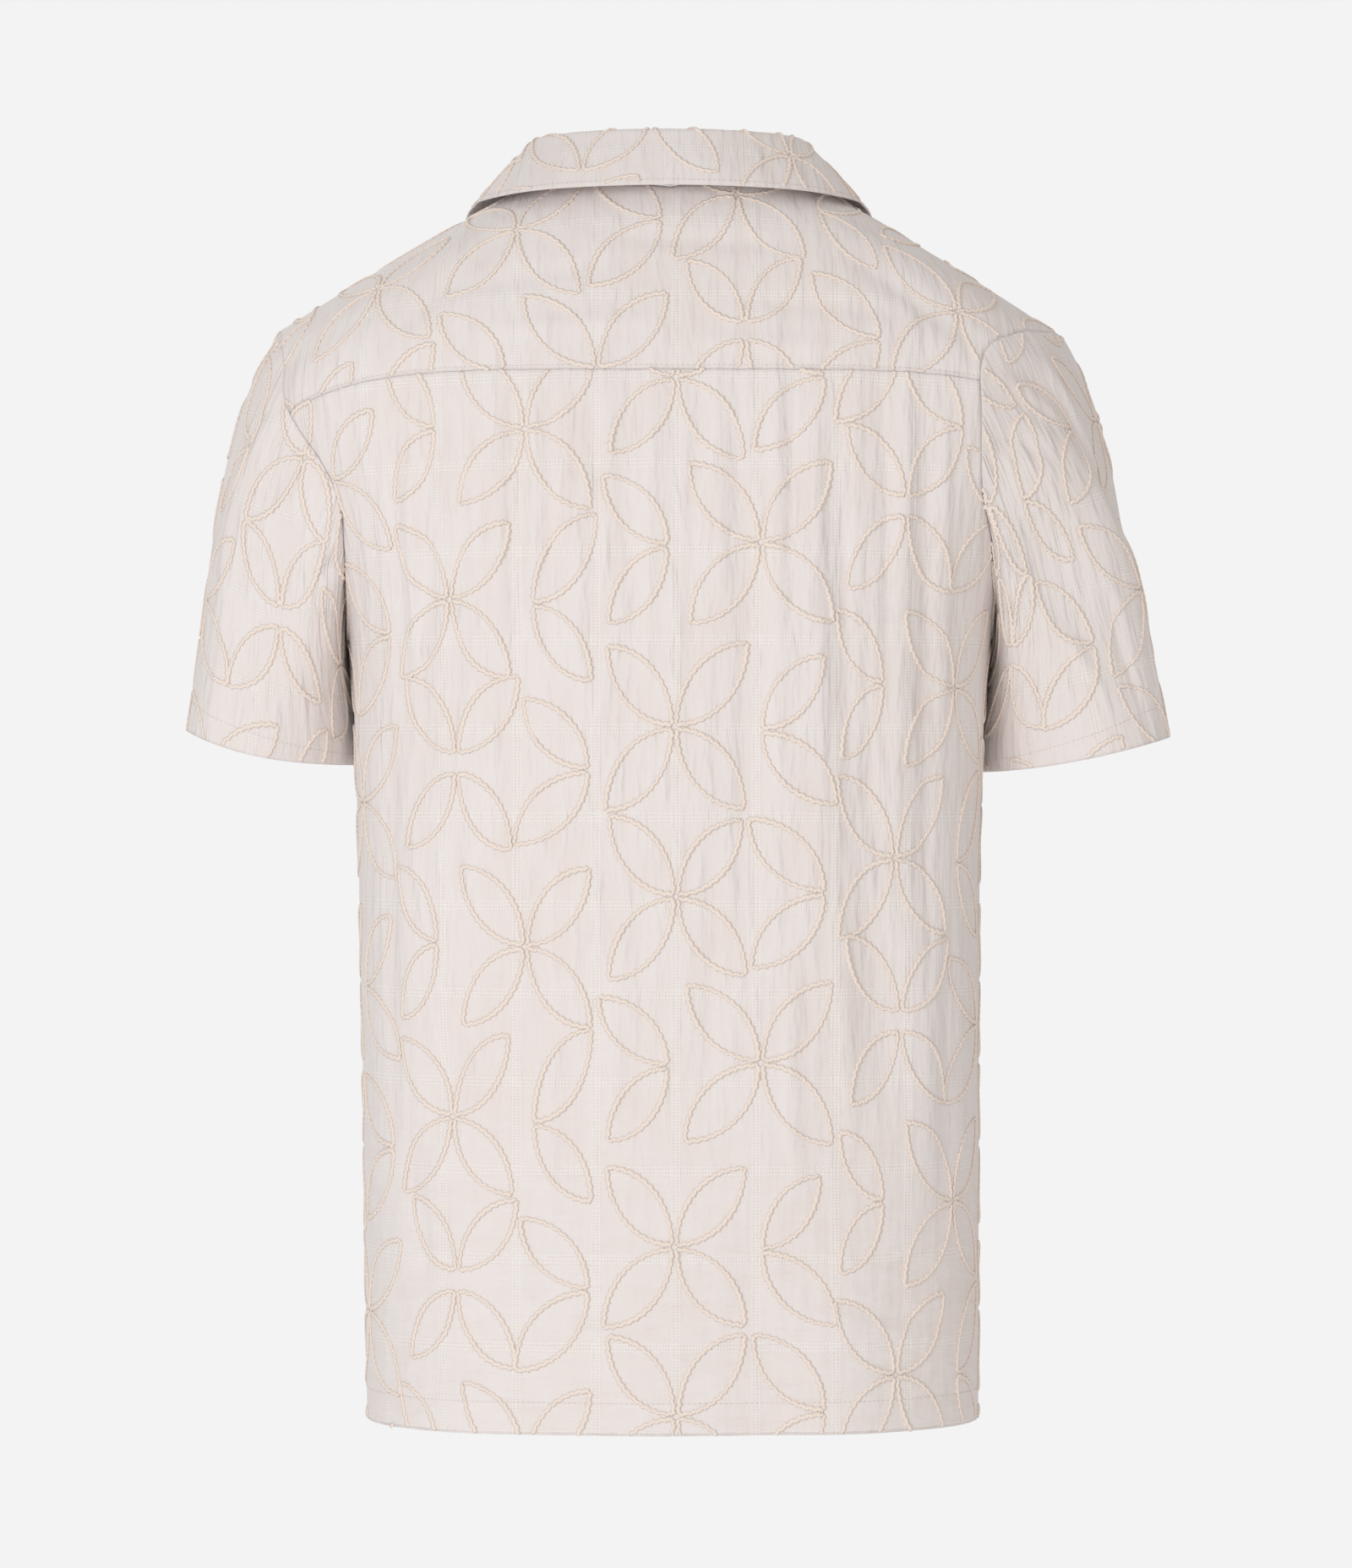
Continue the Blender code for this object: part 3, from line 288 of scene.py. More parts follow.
# Columns: side, share_a, reach_a, share_b, reach_b, width, height
SLEEVE_FOLDS = (
    ("left", 0.20, 0.10, 0.27, 0.70, 0.050, -0.0030),
    ("left", 0.33, 0.05, 0.38, 0.60, 0.050, 0.0022),
    ("left", 0.72, 0.10, 0.68, 0.75, 0.050, -0.0030),
    ("right", 0.36, 0.10, 0.47, 0.50, 0.045, -0.0046),
    ("right", 0.30, 0.16, 0.40, 0.66, 0.050, 0.0042),
    ("right", 0.24, 0.30, 0.33, 0.90, 0.045, -0.0040),
    ("right", 0.72, 0.10, 0.66, 0.70, 0.050, -0.0030),
)
SLEEVE_CREASES = (
    ("left", 0.16, 0.06, 0.22, 0.40, 0.012, -0.0012),
    ("left", 0.26, 0.04, 0.31, 0.34, 0.010, 0.0011),
    ("left", 0.36, 0.06, 0.40, 0.30, 0.010, -0.0010),
    ("left", 0.24, 0.50, 0.30, 0.86, 0.012, -0.0012),
    ("left", 0.34, 0.56, 0.33, 0.94, 0.011, 0.0010),
    ("left", 0.42, 0.30, 0.43, 0.72, 0.012, -0.0010),
    ("left", 0.62, 0.10, 0.60, 0.50, 0.012, -0.0012),
    ("left", 0.78, 0.10, 0.76, 0.60, 0.012, 0.0012),
    ("left", 0.70, 0.50, 0.66, 0.92, 0.012, -0.0011),
    ("right", 0.28, 0.05, 0.34, 0.30, 0.010, -0.0016),
    ("right", 0.34, 0.04, 0.39, 0.26, 0.009, 0.0014),
    ("right", 0.42, 0.06, 0.45, 0.40, 0.011, 0.0012),
    ("right", 0.20, 0.40, 0.27, 0.80, 0.012, 0.0013),
    ("right", 0.33, 0.62, 0.35, 0.95, 0.011, -0.0011),
    ("right", 0.42, 0.60, 0.41, 0.94, 0.012, 0.0010),
    ("right", 0.62, 0.10, 0.60, 0.50, 0.012, -0.0012),
    ("right", 0.79, 0.10, 0.77, 0.60, 0.012, 0.0012),
    ("right", 0.70, 0.50, 0.67, 0.92, 0.012, -0.0011),
)

COLLAR_COLUMNS = ("share", "neck", "fold", "edge")
COLLAR = (
    (0.00, 0.00, (0.0000, 0.0620, 0.0325), (0.0000, 0.0870, -0.0010)),
    (0.16, 0.20, (0.0300, 0.0565, 0.0325), (0.0400, 0.0830, -0.0015)),
    (0.32, 0.42, (0.0570, 0.0395, 0.0325), (0.0780, 0.0650, -0.0025)),
    (0.46, 0.60, (0.0740, 0.0170, 0.0320), (0.1030, 0.0330, -0.0040)),
    (0.60, 0.80, (0.0765, -0.0070, 0.0300), (0.1115, -0.0060, -0.0040)),
    (0.78, 1.04, (0.0715, -0.0370, 0.0220), (0.1180, -0.0470, -0.0120)),
    (1.00, 1.36, (0.0515, -0.0775, -0.0110), (0.1110, -0.0890, -0.0500)),
)
COLLAR_MIDDLE = 0.0040
COLLAR_FOOT_INSIDE = 0.0013
COLLAR_FOOT_RISE = 0.0008
COLLAR_FOLD_RADIUS = 0.0032
COLLAR_SECTION_COLUMNS = ("rise", "fall", "over", "down")
COLLAR_SECTION = (
    (0.00, 0.00, 0.00, 0.00),
    (0.45, 0.00, -0.60, 0.00),
    (1.00, 0.00, -1.00, 1.20),
    (1.00, 0.00, -0.75, 0.35),
    (1.00, 0.00, 0.00, 0.00),
    (1.00, 0.00, 0.75, 0.35),
    (1.00, 0.18, 0.50, 0.00),
    (1.00, 0.42, 0.60, 0.00),
    (1.00, 0.70, 0.45, 0.00),
    (1.00, 1.00, 0.00, 0.00),
)
UNDERLAP_FADE = (0.004, 0.034)
LAPEL_COLUMNS = ("row", "reach")
LAPEL = ((12.05, 0.0440), (12.40, 0.0600), (12.80, 0.0540), (13.10, 0.0340), (13.32, 0.0080))
LAPEL_STANDOFF = 0.0004
BUTTON_STANDOFF = 0.0006
BUTTON_HEIGHTS = (-0.166, -0.256, -0.346, -0.436, -0.526)

# One repeat of the embroidery, in metres across and down the cloth. A flower has four leaves round its
# middle, each a cell in size, and split is how far from the middle its upper and lower leaves start. A sprig
# has two leaves that meet at its point.
REPEAT_DOWN = 0.288
HALF_DROP = (0.253, 0.144)
# Columns: across, down, leaf_across, leaf_down, split
FLOWERS = (
    (0.000, 0.005, 0.0370, 0.0430, 0.0),
    (-0.084, 0.033, 0.0360, 0.0420, 0.0),
    (0.047, 0.097, 0.0385, 0.0425, 0.0),
    (-0.128, 0.128, 0.0340, 0.0430, 0.0),
    (-0.001, 0.199, 0.0375, 0.0430, 0.0),
    (-0.124, 0.219, 0.0320, 0.0400, 0.0047),
)
# Columns: start_across, start_down, point_across, point_down, end_across, end_down
SPRIGS = (
    (-0.041, 0.062, -0.005, 0.099, -0.038, 0.141),
    (-0.045, 0.080, -0.079, 0.131, -0.048, 0.173),
    (0.082, 0.161, 0.048, 0.201, 0.087, 0.242),
    (0.091, 0.134, 0.117, 0.175, 0.092, 0.216),
    (-0.087, 0.183, -0.049, 0.223, -0.090, 0.266),
    (0.042, 0.250, 0.082, 0.291, 0.043, 0.334),
)
# Where the pattern's start lies on each piece's cloth, because each was cut from its own place
PATTERN_START = {
    "back": (0.0, 0.0),
    "yoke": (-0.091, -0.097),
    "front_left": (0.060, 0.110),
    "front_right": (-0.010, 0.190),
    "sleeve_left": (0.020, -0.060),
    "sleeve_right": (-0.030, -0.040),
    "collar": (0.010, 0.020),
    "lapel_left": (0.030, 0.070),
    "lapel_right": (-0.040, 0.100),
}


def column(table, columns, name):
    """One named column of a table, as an array."""
    return np.array([row[columns.index(name)] for row in table], float)


def hermite(t, start, end, leave, arrive):
    """The curve from start to end with the slopes leave and arrive, at shares t of the way."""
    return ((2 * t**3 - 3 * t**2 + 1) * start + (t**3 - 2 * t**2 + t) * leave
            + (3 * t**2 - 2 * t**3) * end + (t**3 - t**2) * arrive)


def smooth(at, places, values):
    """A smooth curve through the values at the places, read at the places asked for."""
    slopes = np.gradient(values, places)
    at = np.clip(at, places[0], places[-1])
    k = np.clip(np.searchsorted(places, at) - 1, 0, len(places) - 2)
    span = places[k + 1] - places[k]
    return hermite((at - places[k]) / span, values[k], values[k + 1], span * slopes[k], span * slopes[k + 1])


def smoothstep(value, low, high):
    """0 below low, 1 above high, and an even rise between them."""
    t = np.clip((value - low) / (high - low), 0.0, 1.0)
    return t * t * (3 - 2 * t)


def mirror(side):
    """What turns the form of a left piece into that of a piece on the given side."""
    return np.array([1.0 if side == "left" else -1.0, 1.0, 1.0])


def unit(vectors):
    return vectors / np.maximum(np.linalg.norm(vectors, axis=-1, keepdims=True), 1e-9)


def torso_value(row, name):
    return smooth(row, np.arange(len(TORSO), dtype=float), column(TORSO, TORSO_COLUMNS, name))


def torso(row, angle):
    """The torso's smooth form at a place on the arch. angle is 0 at the left side and pi at the right."""
    row, angle = np.broadcast_arrays(np.asarray(row, float), np.asarray(angle, float))
    cos, sin = np.cos(angle), np.sin(angle)
    power = torso_value(row, "round")
    stretch = (np.abs(cos) ** power + np.abs(sin) ** power) ** (-1 / power)
    half = np.where(cos > 0, torso_value(row, "left"), torso_value(row, "right"))
    end = np.where(cos > 0, torso_value(row, "left_end"), torso_value(row, "right_end"))
    middle = torso_value(row, "middle")
    outward = np.clip(np.abs(cos) * stretch, 0, 1)
    x = half * cos * stretch
    y = torso_value(row, "depth") * sin * stretch
    z = middle + (end - middle) * outward ** torso_value(row, "drop")
    return np.stack([x, y, z], axis=-1)


def torso_normal(row, angle):
    """The direction that points out of the torso's form."""
    row, angle = np.broadcast_arrays(np.asarray(row, float), np.asarray(angle, float))
    step, least = 0.02, np.radians(5.0)
    angle = np.clip(angle, least, np.pi - least)
    low, high = np.clip(row - step, 0, len(TORSO) - 1), np.clip(row + step, 0, len(TORSO) - 1)
    along = torso(high, angle) - torso(low, angle)
    across = torso(row, angle + step) - torso(row, angle - step)
    return unit(np.cross(across, along))


def fold_ends(t):
    """How a fold fades in and out along its line."""
    return smoothstep(t, -FOLD_FADE, FOLD_FADE) * (1 - smoothstep(t, 1 - FOLD_FADE, 1 + FOLD_FADE))


def body_relief(points, table):
    """How far the cloth stands proud of the torso's form, from a table of folds."""
    relief = np.zeros(points.shape[:-1])
    for side, x_top, z_top, x_foot, z_foot, width, height in table:
        start, end = np.array([x_top, z_top]), np.array([x_foot, z_foot])
        length = np.linalg.norm(end - start)
        along_line = (end - start) / length
        offset = points[..., [0, 2]] - start
        t = offset @ along_line / length
        away = offset[..., 0] * along_line[1] - offset[..., 1] * along_line[0]
        facing = smoothstep(points[..., 1] * (1 if side == "back" else -1), *FOLD_SIDE_FADE)
        relief += height * np.exp(-(away / width) ** 2) * fold_ends(t) * facing
    return relief


def cloth(row, angle):
    """The outer face of the body's creased cloth, and the direction out of it."""
    base, normal = torso(row, angle), torso_normal(row, angle)
    relief = FOLD_DEPTH * body_relief(base, FOLDS) + CREASE_DEPTH * body_relief(base, CREASES)
    return base + normal * relief[..., None], normal


def armhole_angle(row, side):
    """How far in from its side an armhole seam lies, in radians, at a place on the arch."""
    places = column(ARMHOLE, ARMHOLE_COLUMNS, "row")
    degrees = np.maximum(smooth(row, places, column(ARMHOLE, ARMHOLE_COLUMNS, side)), 0)
    inside = (np.asarray(row) > places[0]) & (np.asarray(row) < places[-1])
    return np.radians(np.where(inside, degrees, 0.0))


def from_side(angle, side):
    """An angle measured from one side, as the torso's own angle."""
    return angle if side == "left" else np.pi - angle


def angle_at(row, x):
    """The torso's angle where it is x across, at a place on the arch."""
    angles = np.radians(np.linspace(178, 2, 353))
    return np.array([np.interp(x_one, torso(row_one, angles)[:, 0], angles)
                     for row_one, x_one in zip(np.ravel(row), np.ravel(x))])


def even_places(path, first, last, count):
    """Places on the arch between two others, evenly spaced along the path that a function of them draws."""
    fine = np.linspace(first, last, 600)
    length = np.concatenate([[0], np.cumsum(np.linalg.norm(np.diff(path(fine), axis=0), axis=1))])
    return np.interp(np.linspace(0, length[-1], count), length, fine)


def middle_path(rows):
    return torso(rows, np.pi / 2)


def armhole_path(side):
    return lambda rows: torso(rows, from_side(armhole_angle(rows, side), side))


def armhole_loop(side, count):
    """Places on the arch, evenly spaced round an armhole from the underarm, up the back and over."""
    least = 1e-4
    return even_places(armhole_path(side), ROW["underarm_back"] + least, ROW["underarm_front"] - least, count)


def sleeve_relief(side, share, reach, table):
    """How far a sleeve's cloth stands proud of its form, from a table of folds."""
    relief = np.zeros(np.broadcast(share, reach).shape)
    for fold_side, share_a, reach_a, share_b, reach_b, width, height in table:
        if fold_side != side:
            continue
        line = np.array([share_b - share_a, (reach_b - reach_a) * SLEEVE_REACH_SHARE])
        length = np.linalg.norm(line)
        offset_share, offset_reach = share - share_a, (reach - reach_a) * SLEEVE_REACH_SHARE
        t = (offset_share * line[0] + offset_reach * line[1]) / length**2
        away = (offset_share * line[1] - offset_reach * line[0]) / length
        relief += height * np.exp(-(away / width) ** 2) * fold_ends(t)
    return relief * smoothstep(reach, 0.0, 0.15)


LOOP_POINTS = 601
LOOPS = {side: armhole_loop(side, LOOP_POINTS) for side in ("left", "right")}


def sleeve_form(side, share, reach):
    """A sleeve's smooth form, as a left one. share runs round the armhole and reach from it to the cuff."""
    rows = np.interp(share, np.linspace(0, 1, LOOP_POINTS), LOOPS[side])
    seam = torso(rows, from_side(armhole_angle(rows, side), side)) * mirror(side)
    table = LEFT_SLEEVE_START if side == "left" else RIGHT_SLEEVE_START
    places = column(table, SLEEVE_START_COLUMNS, "share")
    leave = unit(np.stack([smooth(share, places, column(table, SLEEVE_START_COLUMNS, name))
                           for name in SLEEVE_START_COLUMNS[1:]], axis=-1))
    cuff = dict(zip(CUFF_COLUMNS, LEFT_CUFF if side == "left" else RIGHT_CUFF))
    half_width = (cuff["outer_x"] - cuff["inner_x"]) / 2
    turn, round_cuff = np.radians(cuff["turn"]), 2 * np.pi * share
    across = -np.cos(round_cuff) * half_width
    back = np.sin(round_cuff) * cuff["half_depth"]
    turned = across * np.cos(turn) + back * np.sin(turn) * CUFF_TURN_SHARE
    widest = np.hypot(half_width * np.cos(turn), cuff["half_depth"] * np.sin(turn) * CUFF_TURN_SHARE)
    x = (cuff["outer_x"] + cuff["inner_x"]) / 2 + turned * half_width / widest
    y = back * np.cos(turn) - cuff["forward"]
    outward = np.clip((x - cuff["inner_x"]) / (2 * half_width), 0, 1)
    z = cuff["inner_z"] + (cuff["outer_z"] - cuff["inner_z"]) * outward ** cuff["rise"]
    end = np.stack(np.broadcast_arrays(x, y, z), axis=-1)
    fall = unit(np.array(SLEEVE_FALL))
    pull = np.linalg.norm(end - seam, axis=-1, keepdims=True) * SLEEVE_PULL
    return hermite(np.asarray(reach, float)[..., None], seam, end, pull * leave, pull * fall)


def sleeve_normal(side, share, reach):
    """The direction out of a sleeve's form, as a left one."""
    step = 0.012
    low, high = np.clip(reach - step, 0, 1), np.clip(reach + step, 0, 1)
    down = sleeve_form(side, share, high) - sleeve_form(side, share, low)
    round_it = sleeve_form(side, (share + step) % 1.0, reach) - sleeve_form(side, (share - step) % 1.0, reach)
    return unit(np.cross(round_it, down))


def front_edge_angle(rows, side):
    """The angle of a front panel's open edge, at places on the arch."""
    places, edge = (column(FRONT_EDGE, FRONT_EDGE_COLUMNS, name) for name in FRONT_EDGE_COLUMNS)
    x = np.where(rows > places[-2], edge[-1], smooth(rows, places, edge))
    return angle_at(rows, x if side == "left" else -x)


def neck_path(side, share):
    """The neck seam as places on the arch and angles, from the middle of the back to the front."""
    places = column(NECK, NECK_COLUMNS, "share")
    rows = smooth(share, places, column(NECK, NECK_COLUMNS, "row"))
    rows = rows + np.maximum(share - 1, 0) * NECK_ROWS_PAST_YOKE
    degrees = smooth(share, places, column(NECK, NECK_COLUMNS, side))
    angles = np.where(share > 1, front_edge_angle(rows, side), from_side(np.radians(degrees), side))
    return rows, angles


def collar_line(name, share):
    """The collar's crest or its free edge, at ways along it from the right end at -1 to the left one at 1."""
    places = column(COLLAR, COLLAR_COLUMNS, "share")
    table = np.array([row[COLLAR_COLUMNS.index(name)] for row in COLLAR])
    both = np.concatenate([table[:0:-1] * (-1, 1, 1), table])
    both_places = np.concatenate([-places[:0:-1], places])
    line = np.stack([smooth(share, both_places, both[:, k]) for k in range(3)], axis=-1)
    return line + (COLLAR_MIDDLE, 0, 0)


def collar_foot(share):
    """Where the collar stands, just inside and above the neck seam."""
    places, necks = column(COLLAR, COLLAR_COLUMNS, "share"), column(COLLAR, COLLAR_COLUMNS, "neck")
    neck = np.interp(np.abs(share), places, necks)
    sides = np.array([torso(*neck_path(side, neck)) for side in ("left", "right")])
    seam = np.where((share > 0)[:, None], sides[0], sides[1])
    inward = unit((np.array([COLLAR_MIDDLE, 0.0, 0.0]) - seam) * (1, 1, 0))
    return seam + inward * COLLAR_FOOT_INSIDE + (0, 0, COLLAR_FOOT_RISE)


class ClothMap:
    """Ties a piece's flat cloth to its form.

    first and second are the two ways that run over the form, such as round a sleeve and along it. form gives
    the points and outward directions at values of them, and inside says which values are on the piece. flat
    holds where each place lies on the flat cloth, in metres across and down.
    """

    def __init__(self, first, second, form, across, down, inside):
        self.first, self.second, self.form, self.inside = first, second, form, inside
        self.flat = np.stack([across, down], axis=-1)

    def at(self, i, j):
        """The flat place at fractional steps along the two ways."""
        k = np.clip(np.floor(i).astype(int), 0, self.flat.shape[0] - 2)
        m = np.clip(np.floor(j).astype(int), 0, self.flat.shape[1] - 2)
        s, t = (i - k)[:, None], (j - m)[:, None]
        near = self.flat[k, m] * (1 - t) + self.flat[k, m + 1] * t
        far = self.flat[k + 1, m] * (1 - t) + self.flat[k + 1, m + 1] * t
        return near * (1 - s) + far * s

    def locate(self, wanted):
        """The two ways' values where the flat cloth has the wanted places, and which of them it has."""
        sparse, chunk, rounds, reach = 5, 2000, 9, 3.0
        table = self.flat[::sparse, ::sparse]
        flat_table = table.reshape(-1, 2)
        nearest = np.concatenate([
            np.argmin(((part[:, None] - flat_table[None]) ** 2).sum(axis=2), axis=1)
            for part in np.array_split(wanted, len(wanted) // chunk + 1)])
        i = (nearest // table.shape[1]) * float(sparse)
        j = (nearest % table.shape[1]) * float(sparse)
        rows, columns = self.flat.shape[:2]
        for _ in range(rounds):
            error = wanted - self.at(i, j)
            by_i = self.at(i + 0.5, j) - self.at(i - 0.5, j)
            by_j = self.at(i, j + 0.5) - self.at(i, j - 0.5)
            across = by_i[:, 0] * by_j[:, 1] - by_i[:, 1] * by_j[:, 0]
            across = np.where(np.abs(across) < 1e-12, 1e-12, across)
            i = i + np.clip((error[:, 0] * by_j[:, 1] - error[:, 1] * by_j[:, 0]) / across, -reach, reach)
            j = j + np.clip((error[:, 1] * by_i[:, 0] - error[:, 0] * by_i[:, 1]) / across, -reach, reach)
            i, j = np.clip(i, -1, rows), np.clip(j, -1, columns)
        on_it = (i >= 0) & (i <= rows - 1) & (j >= 0) & (j <= columns - 1)
        first = np.interp(i, np.arange(rows), self.first)
        second = np.interp(j, np.arange(columns), self.second)
        return first, second, on_it & self.inside(first, second)

    def ends(self):
        """The lowest and highest flat place."""
        return self.flat.reshape(-1, 2).min(axis=0), self.flat.reshape(-1, 2).max(axis=0)


def lengths(points, axis):
    """Lengths along one axis of a grid of points, from its first line."""
    steps = np.linalg.norm(np.diff(points, axis=axis), axis=2)
    first = np.zeros_like(np.take(steps, [0], axis=axis))
    return np.concatenate([first, np.cumsum(steps, axis=axis)], axis=axis)


def torso_map(first_row, last_row, form, inside, measure):
    """A map of a body panel. measure is where its lines down start: hem_up, seam_up or hem_down."""
    rows = np.linspace(first_row, last_row, int((last_row - first_row) / MAP_ROW_STEP) + 1)
    points = torso(rows[:, None], MAP_ANGLES[None, :])
    across = lengths(points, 1)
    across -= np.array([np.interp(np.pi / 2, MAP_ANGLES, line) for line in across])[:, None]
    length = lengths(points, 0)
    middle = len(MAP_ANGLES) // 2
    down = {"hem_up": length[-1, middle] - length, "seam_up": -length,
            "hem_down": length - length[-1] + HEM_DOWN}[measure]
    return ClothMap(rows, MAP_ANGLES, form, across, down, inside)


# How far cord keeps from a seam, a middling radius for turning that into an angle, where the fronts' measure
# down starts, and how far from the middle the lapped front begins to hide the other
SEAM_MARGIN = 0.0008
BODY_RADIUS = 0.2
SEAM_ANGLE = SEAM_MARGIN / BODY_RADIUS
HEM_DOWN = 0.600
PLACKET_CLEAR = 0.0160

# Sewing: how far rows of stitches are from their edges, and how each stitch dives
HEM_STITCH = 0.018
CUFF_STITCH = 0.018
EDGE_STITCH = 0.0022
FRONT_YOKE_STITCH = 0.035
COLLAR_EDGE_STITCH = 0.955
LAPEL_EDGE_STITCH = 0.005
STITCH_DIVE = (-0.0002, 0.0001, 0.0001, -0.0002)
STITCH_SIDES = 4
TUCK = 0.0005
TUCK_WIDTH = 0.0007
SLEEVE_TUCK = 0.003
CORD_SIDES = 5
CORD_LEAST = 4
NO_CRIMP = (0.0, 1.0)

# How a thread swells with its crimp and along its length, how narrow its ends are, and how far in it is seated
CRIMP_SWELL = 0.20
SLOW_SWELL = 0.16
SLOW_LENGTH = 0.011
END_SHARE = 0.55
SEATED = 0.45

# Where rows of stitches start and end: radians from the sides, shares along the collar, rows down the placket
HEM_ENDS = 0.03
YOKE_ENDS = 0.3
FRONT_YOKE_END = 1.4
CUFF_ENDS = 0.005
COLLAR_ENDS = 0.978
COLLAR_END_START = 0.40
PLACKET_TOP = 0.55
PLACKET_FOOT = 0.02
PLACKET_STITCHES = (PLACKET_HALF - 0.002, 0.003 - PLACKET_HALF)

# How many places each piece's fine grid has, in each stretch of it down and across
BACK_DOWN, BACK_ACROSS = (158, 64), 151
FRONT_DOWN, FRONT_ACROSS = (58, 112), 66
YOKE_DOWN, YOKE_ACROSS = 42, (84, 46)
LAPEL_DOWN, LAPEL_ACROSS = 34, 24
COLLAR_ALONG, COLLAR_ACROSS = 171, 40
SLEEVE_DOWN, SLEEVE_ROUND = 72, 145

# The same for the coarse grids that tie the flat cloth to the form, and how much of a piece may carry cord
MAP_ROW_STEP = 0.05
MAP_ANGLES = np.radians(np.linspace(0.5, 179.5, 180))
SLEEVE_MAP = (60, 161)
SLEEVE_REACH_LIMITS = (0.004, 0.998)
SLEEVE_ROUND_LIMITS = (0.004, 0.996)
COLLAR_MAP = (121, 41)
COLLAR_ALONG_LIMIT = 0.994
COLLAR_ACROSS_LIMITS = (0.05, 0.985)

# Points on a leaf's side, and the repeats laid each way from the pattern's start, more than a piece needs
LEAF_POINTS = 60
HALF_DROPS = range(-4, 5)
REPEATS = range(-5, 6)

# Which line of a piece's grid is tucked under the piece that is sewn over it
TUCKED = {"back": -1, "front_left": 0, "front_right": 0, "sleeve_left": 0, "sleeve_right": 0}

# Buttons: the model's scale while it is worked on, and their holes and buttonholes
BUTTON_GROW = 100.0
HOLE_RADIUS = 0.00085
HOLE_OUT = 0.0022
BUTTONHOLE_HALF = 0.0070
BUTTONHOLE_WIDTH = 0.0016
BUTTONHOLE_PITCH = 0.00045
BUTTONHOLE_SLIT = 0.0003
BUTTONHOLE_ROWS = 0.4
THREAD_APART = 0.00022
BUTTON_THREAD_SHARE = 0.7
BUTTONHOLE_THREAD_SHARE = 0.55
BUTTON_THREAD_SEED, BUTTONHOLE_SEED = 51, 52
HOLE_TURNS = (0.25, 0.75, 1.25, 1.75)
RIM_SHARE = 0.26
DISH_SHARE = 0.10
DISH_DEPTH = 0.24
EDGE_SHARE = 0.26

# The height that the camera and the lights look at, the camera's sensor, and each light's place, size and colour
AIM_HEIGHT = -0.3359
SENSOR_HEIGHT = 36.0
LIGHTS = (
    ("key", (1.7, 3.2, 0.2), 1.4, (0.975, 0.99, 1.0)),
    ("fill", (-0.9, 3.5, -0.4), 1.6, (1.0, 0.86, 0.76)),
    ("front", (0.6, -2.8, 0.6), 2.2, (1.0, 1.0, 1.0)),
)


def within(values, limits):
    return (values > limits[0]) & (values < limits[1])


def between_armholes(row, angle):
    """Which places on the arch lie between the two armhole seams."""
    return ((angle > armhole_angle(row, "left") + SEAM_ANGLE)
            & (angle < np.pi - armhole_angle(row, "right") - SEAM_ANGLE))


def on_yoke(row, angle):
    """Which places on the arch are on the yoke, outside the neck seam."""
    share = np.linspace(0, 1, 60)
    neck = {side: neck_path(side, share) for side in ("left", "right")}
    left = np.interp(row, neck["left"][0], neck["left"][1])
    right = np.interp(row, neck["right"][0], neck["right"][1])
    return between_armholes(row, angle) & ((row < ROW["high_back"]) | (angle < left - SEAM_ANGLE)
                                           | (angle > right + SEAM_ANGLE))


def front_form(side):
    """A front panel's cloth. The right one goes under the left one at the placket."""
    def form(row, angle):
        points, normals = cloth(row, angle)
        if side == "right":
            under = 1 - smoothstep(np.abs(points[..., 0]) - PLACKET_HALF, *UNDERLAP_FADE)
            points = points - normals * (WALL + 2 * SEAM_GAP) * under[..., None]
        return points, normals
    return form


def on_front(side):
    """Which places on the arch are on a front panel and show."""
    rows = np.linspace(ROW["front_yoke"], ROW["hem_front"], 120)
    edge = front_edge_angle(rows, side)

    def inside(row, angle):
        open_edge = np.interp(row, rows, edge)
        if side == "left":
            return between_armholes(row, angle) & (angle < open_edge - SEAM_ANGLE)
        under = torso(row, angle)[..., 0] > -PLACKET_CLEAR
        return between_armholes(row, angle) & (angle > open_edge + SEAM_ANGLE) & ~under
    return inside


def lapel_reach(rows):
    """How far across a lapel starts and ends, at places on the arch."""
    edge = smooth(rows, *(column(FRONT_EDGE, FRONT_EDGE_COLUMNS, name) for name in FRONT_EDGE_COLUMNS))
    return edge, edge + smooth(rows, *(column(LAPEL, LAPEL_COLUMNS, name) for name in LAPEL_COLUMNS))


def lapel_form(row, angle):
    """A lapel's face, which lies on the front."""
    points, normals = cloth(row, angle)
    return points + normals * (WALL + LAPEL_STANDOFF), normals


def on_lapel(side):
    def inside(row, angle):
        edge, reach = lapel_reach(np.clip(row, LAPEL[0][0], LAPEL[-1][0]))
        x = torso(row, angle)[..., 0] * (1 if side == "left" else -1)
        held = (row > LAPEL[0][0]) & (row < LAPEL[-1][0])
        return held & (x > edge + SEAM_MARGIN) & (x < reach - SEAM_MARGIN)
    return inside


def sleeve_cloth(side):
    """The outer face of a sleeve's creased cloth, and the direction out of it."""
    def form(reach, share):
        normals = sleeve_normal(side, share, reach)
        relief = sleeve_relief(side, share, reach, SLEEVE_FOLDS)
        relief = (relief + CREASE_DEPTH * sleeve_relief(side, share, reach, SLEEVE_CREASES))[..., None]
        return (sleeve_form(side, share, reach) + normals * relief) * mirror(side), normals * mirror(side)
    return form


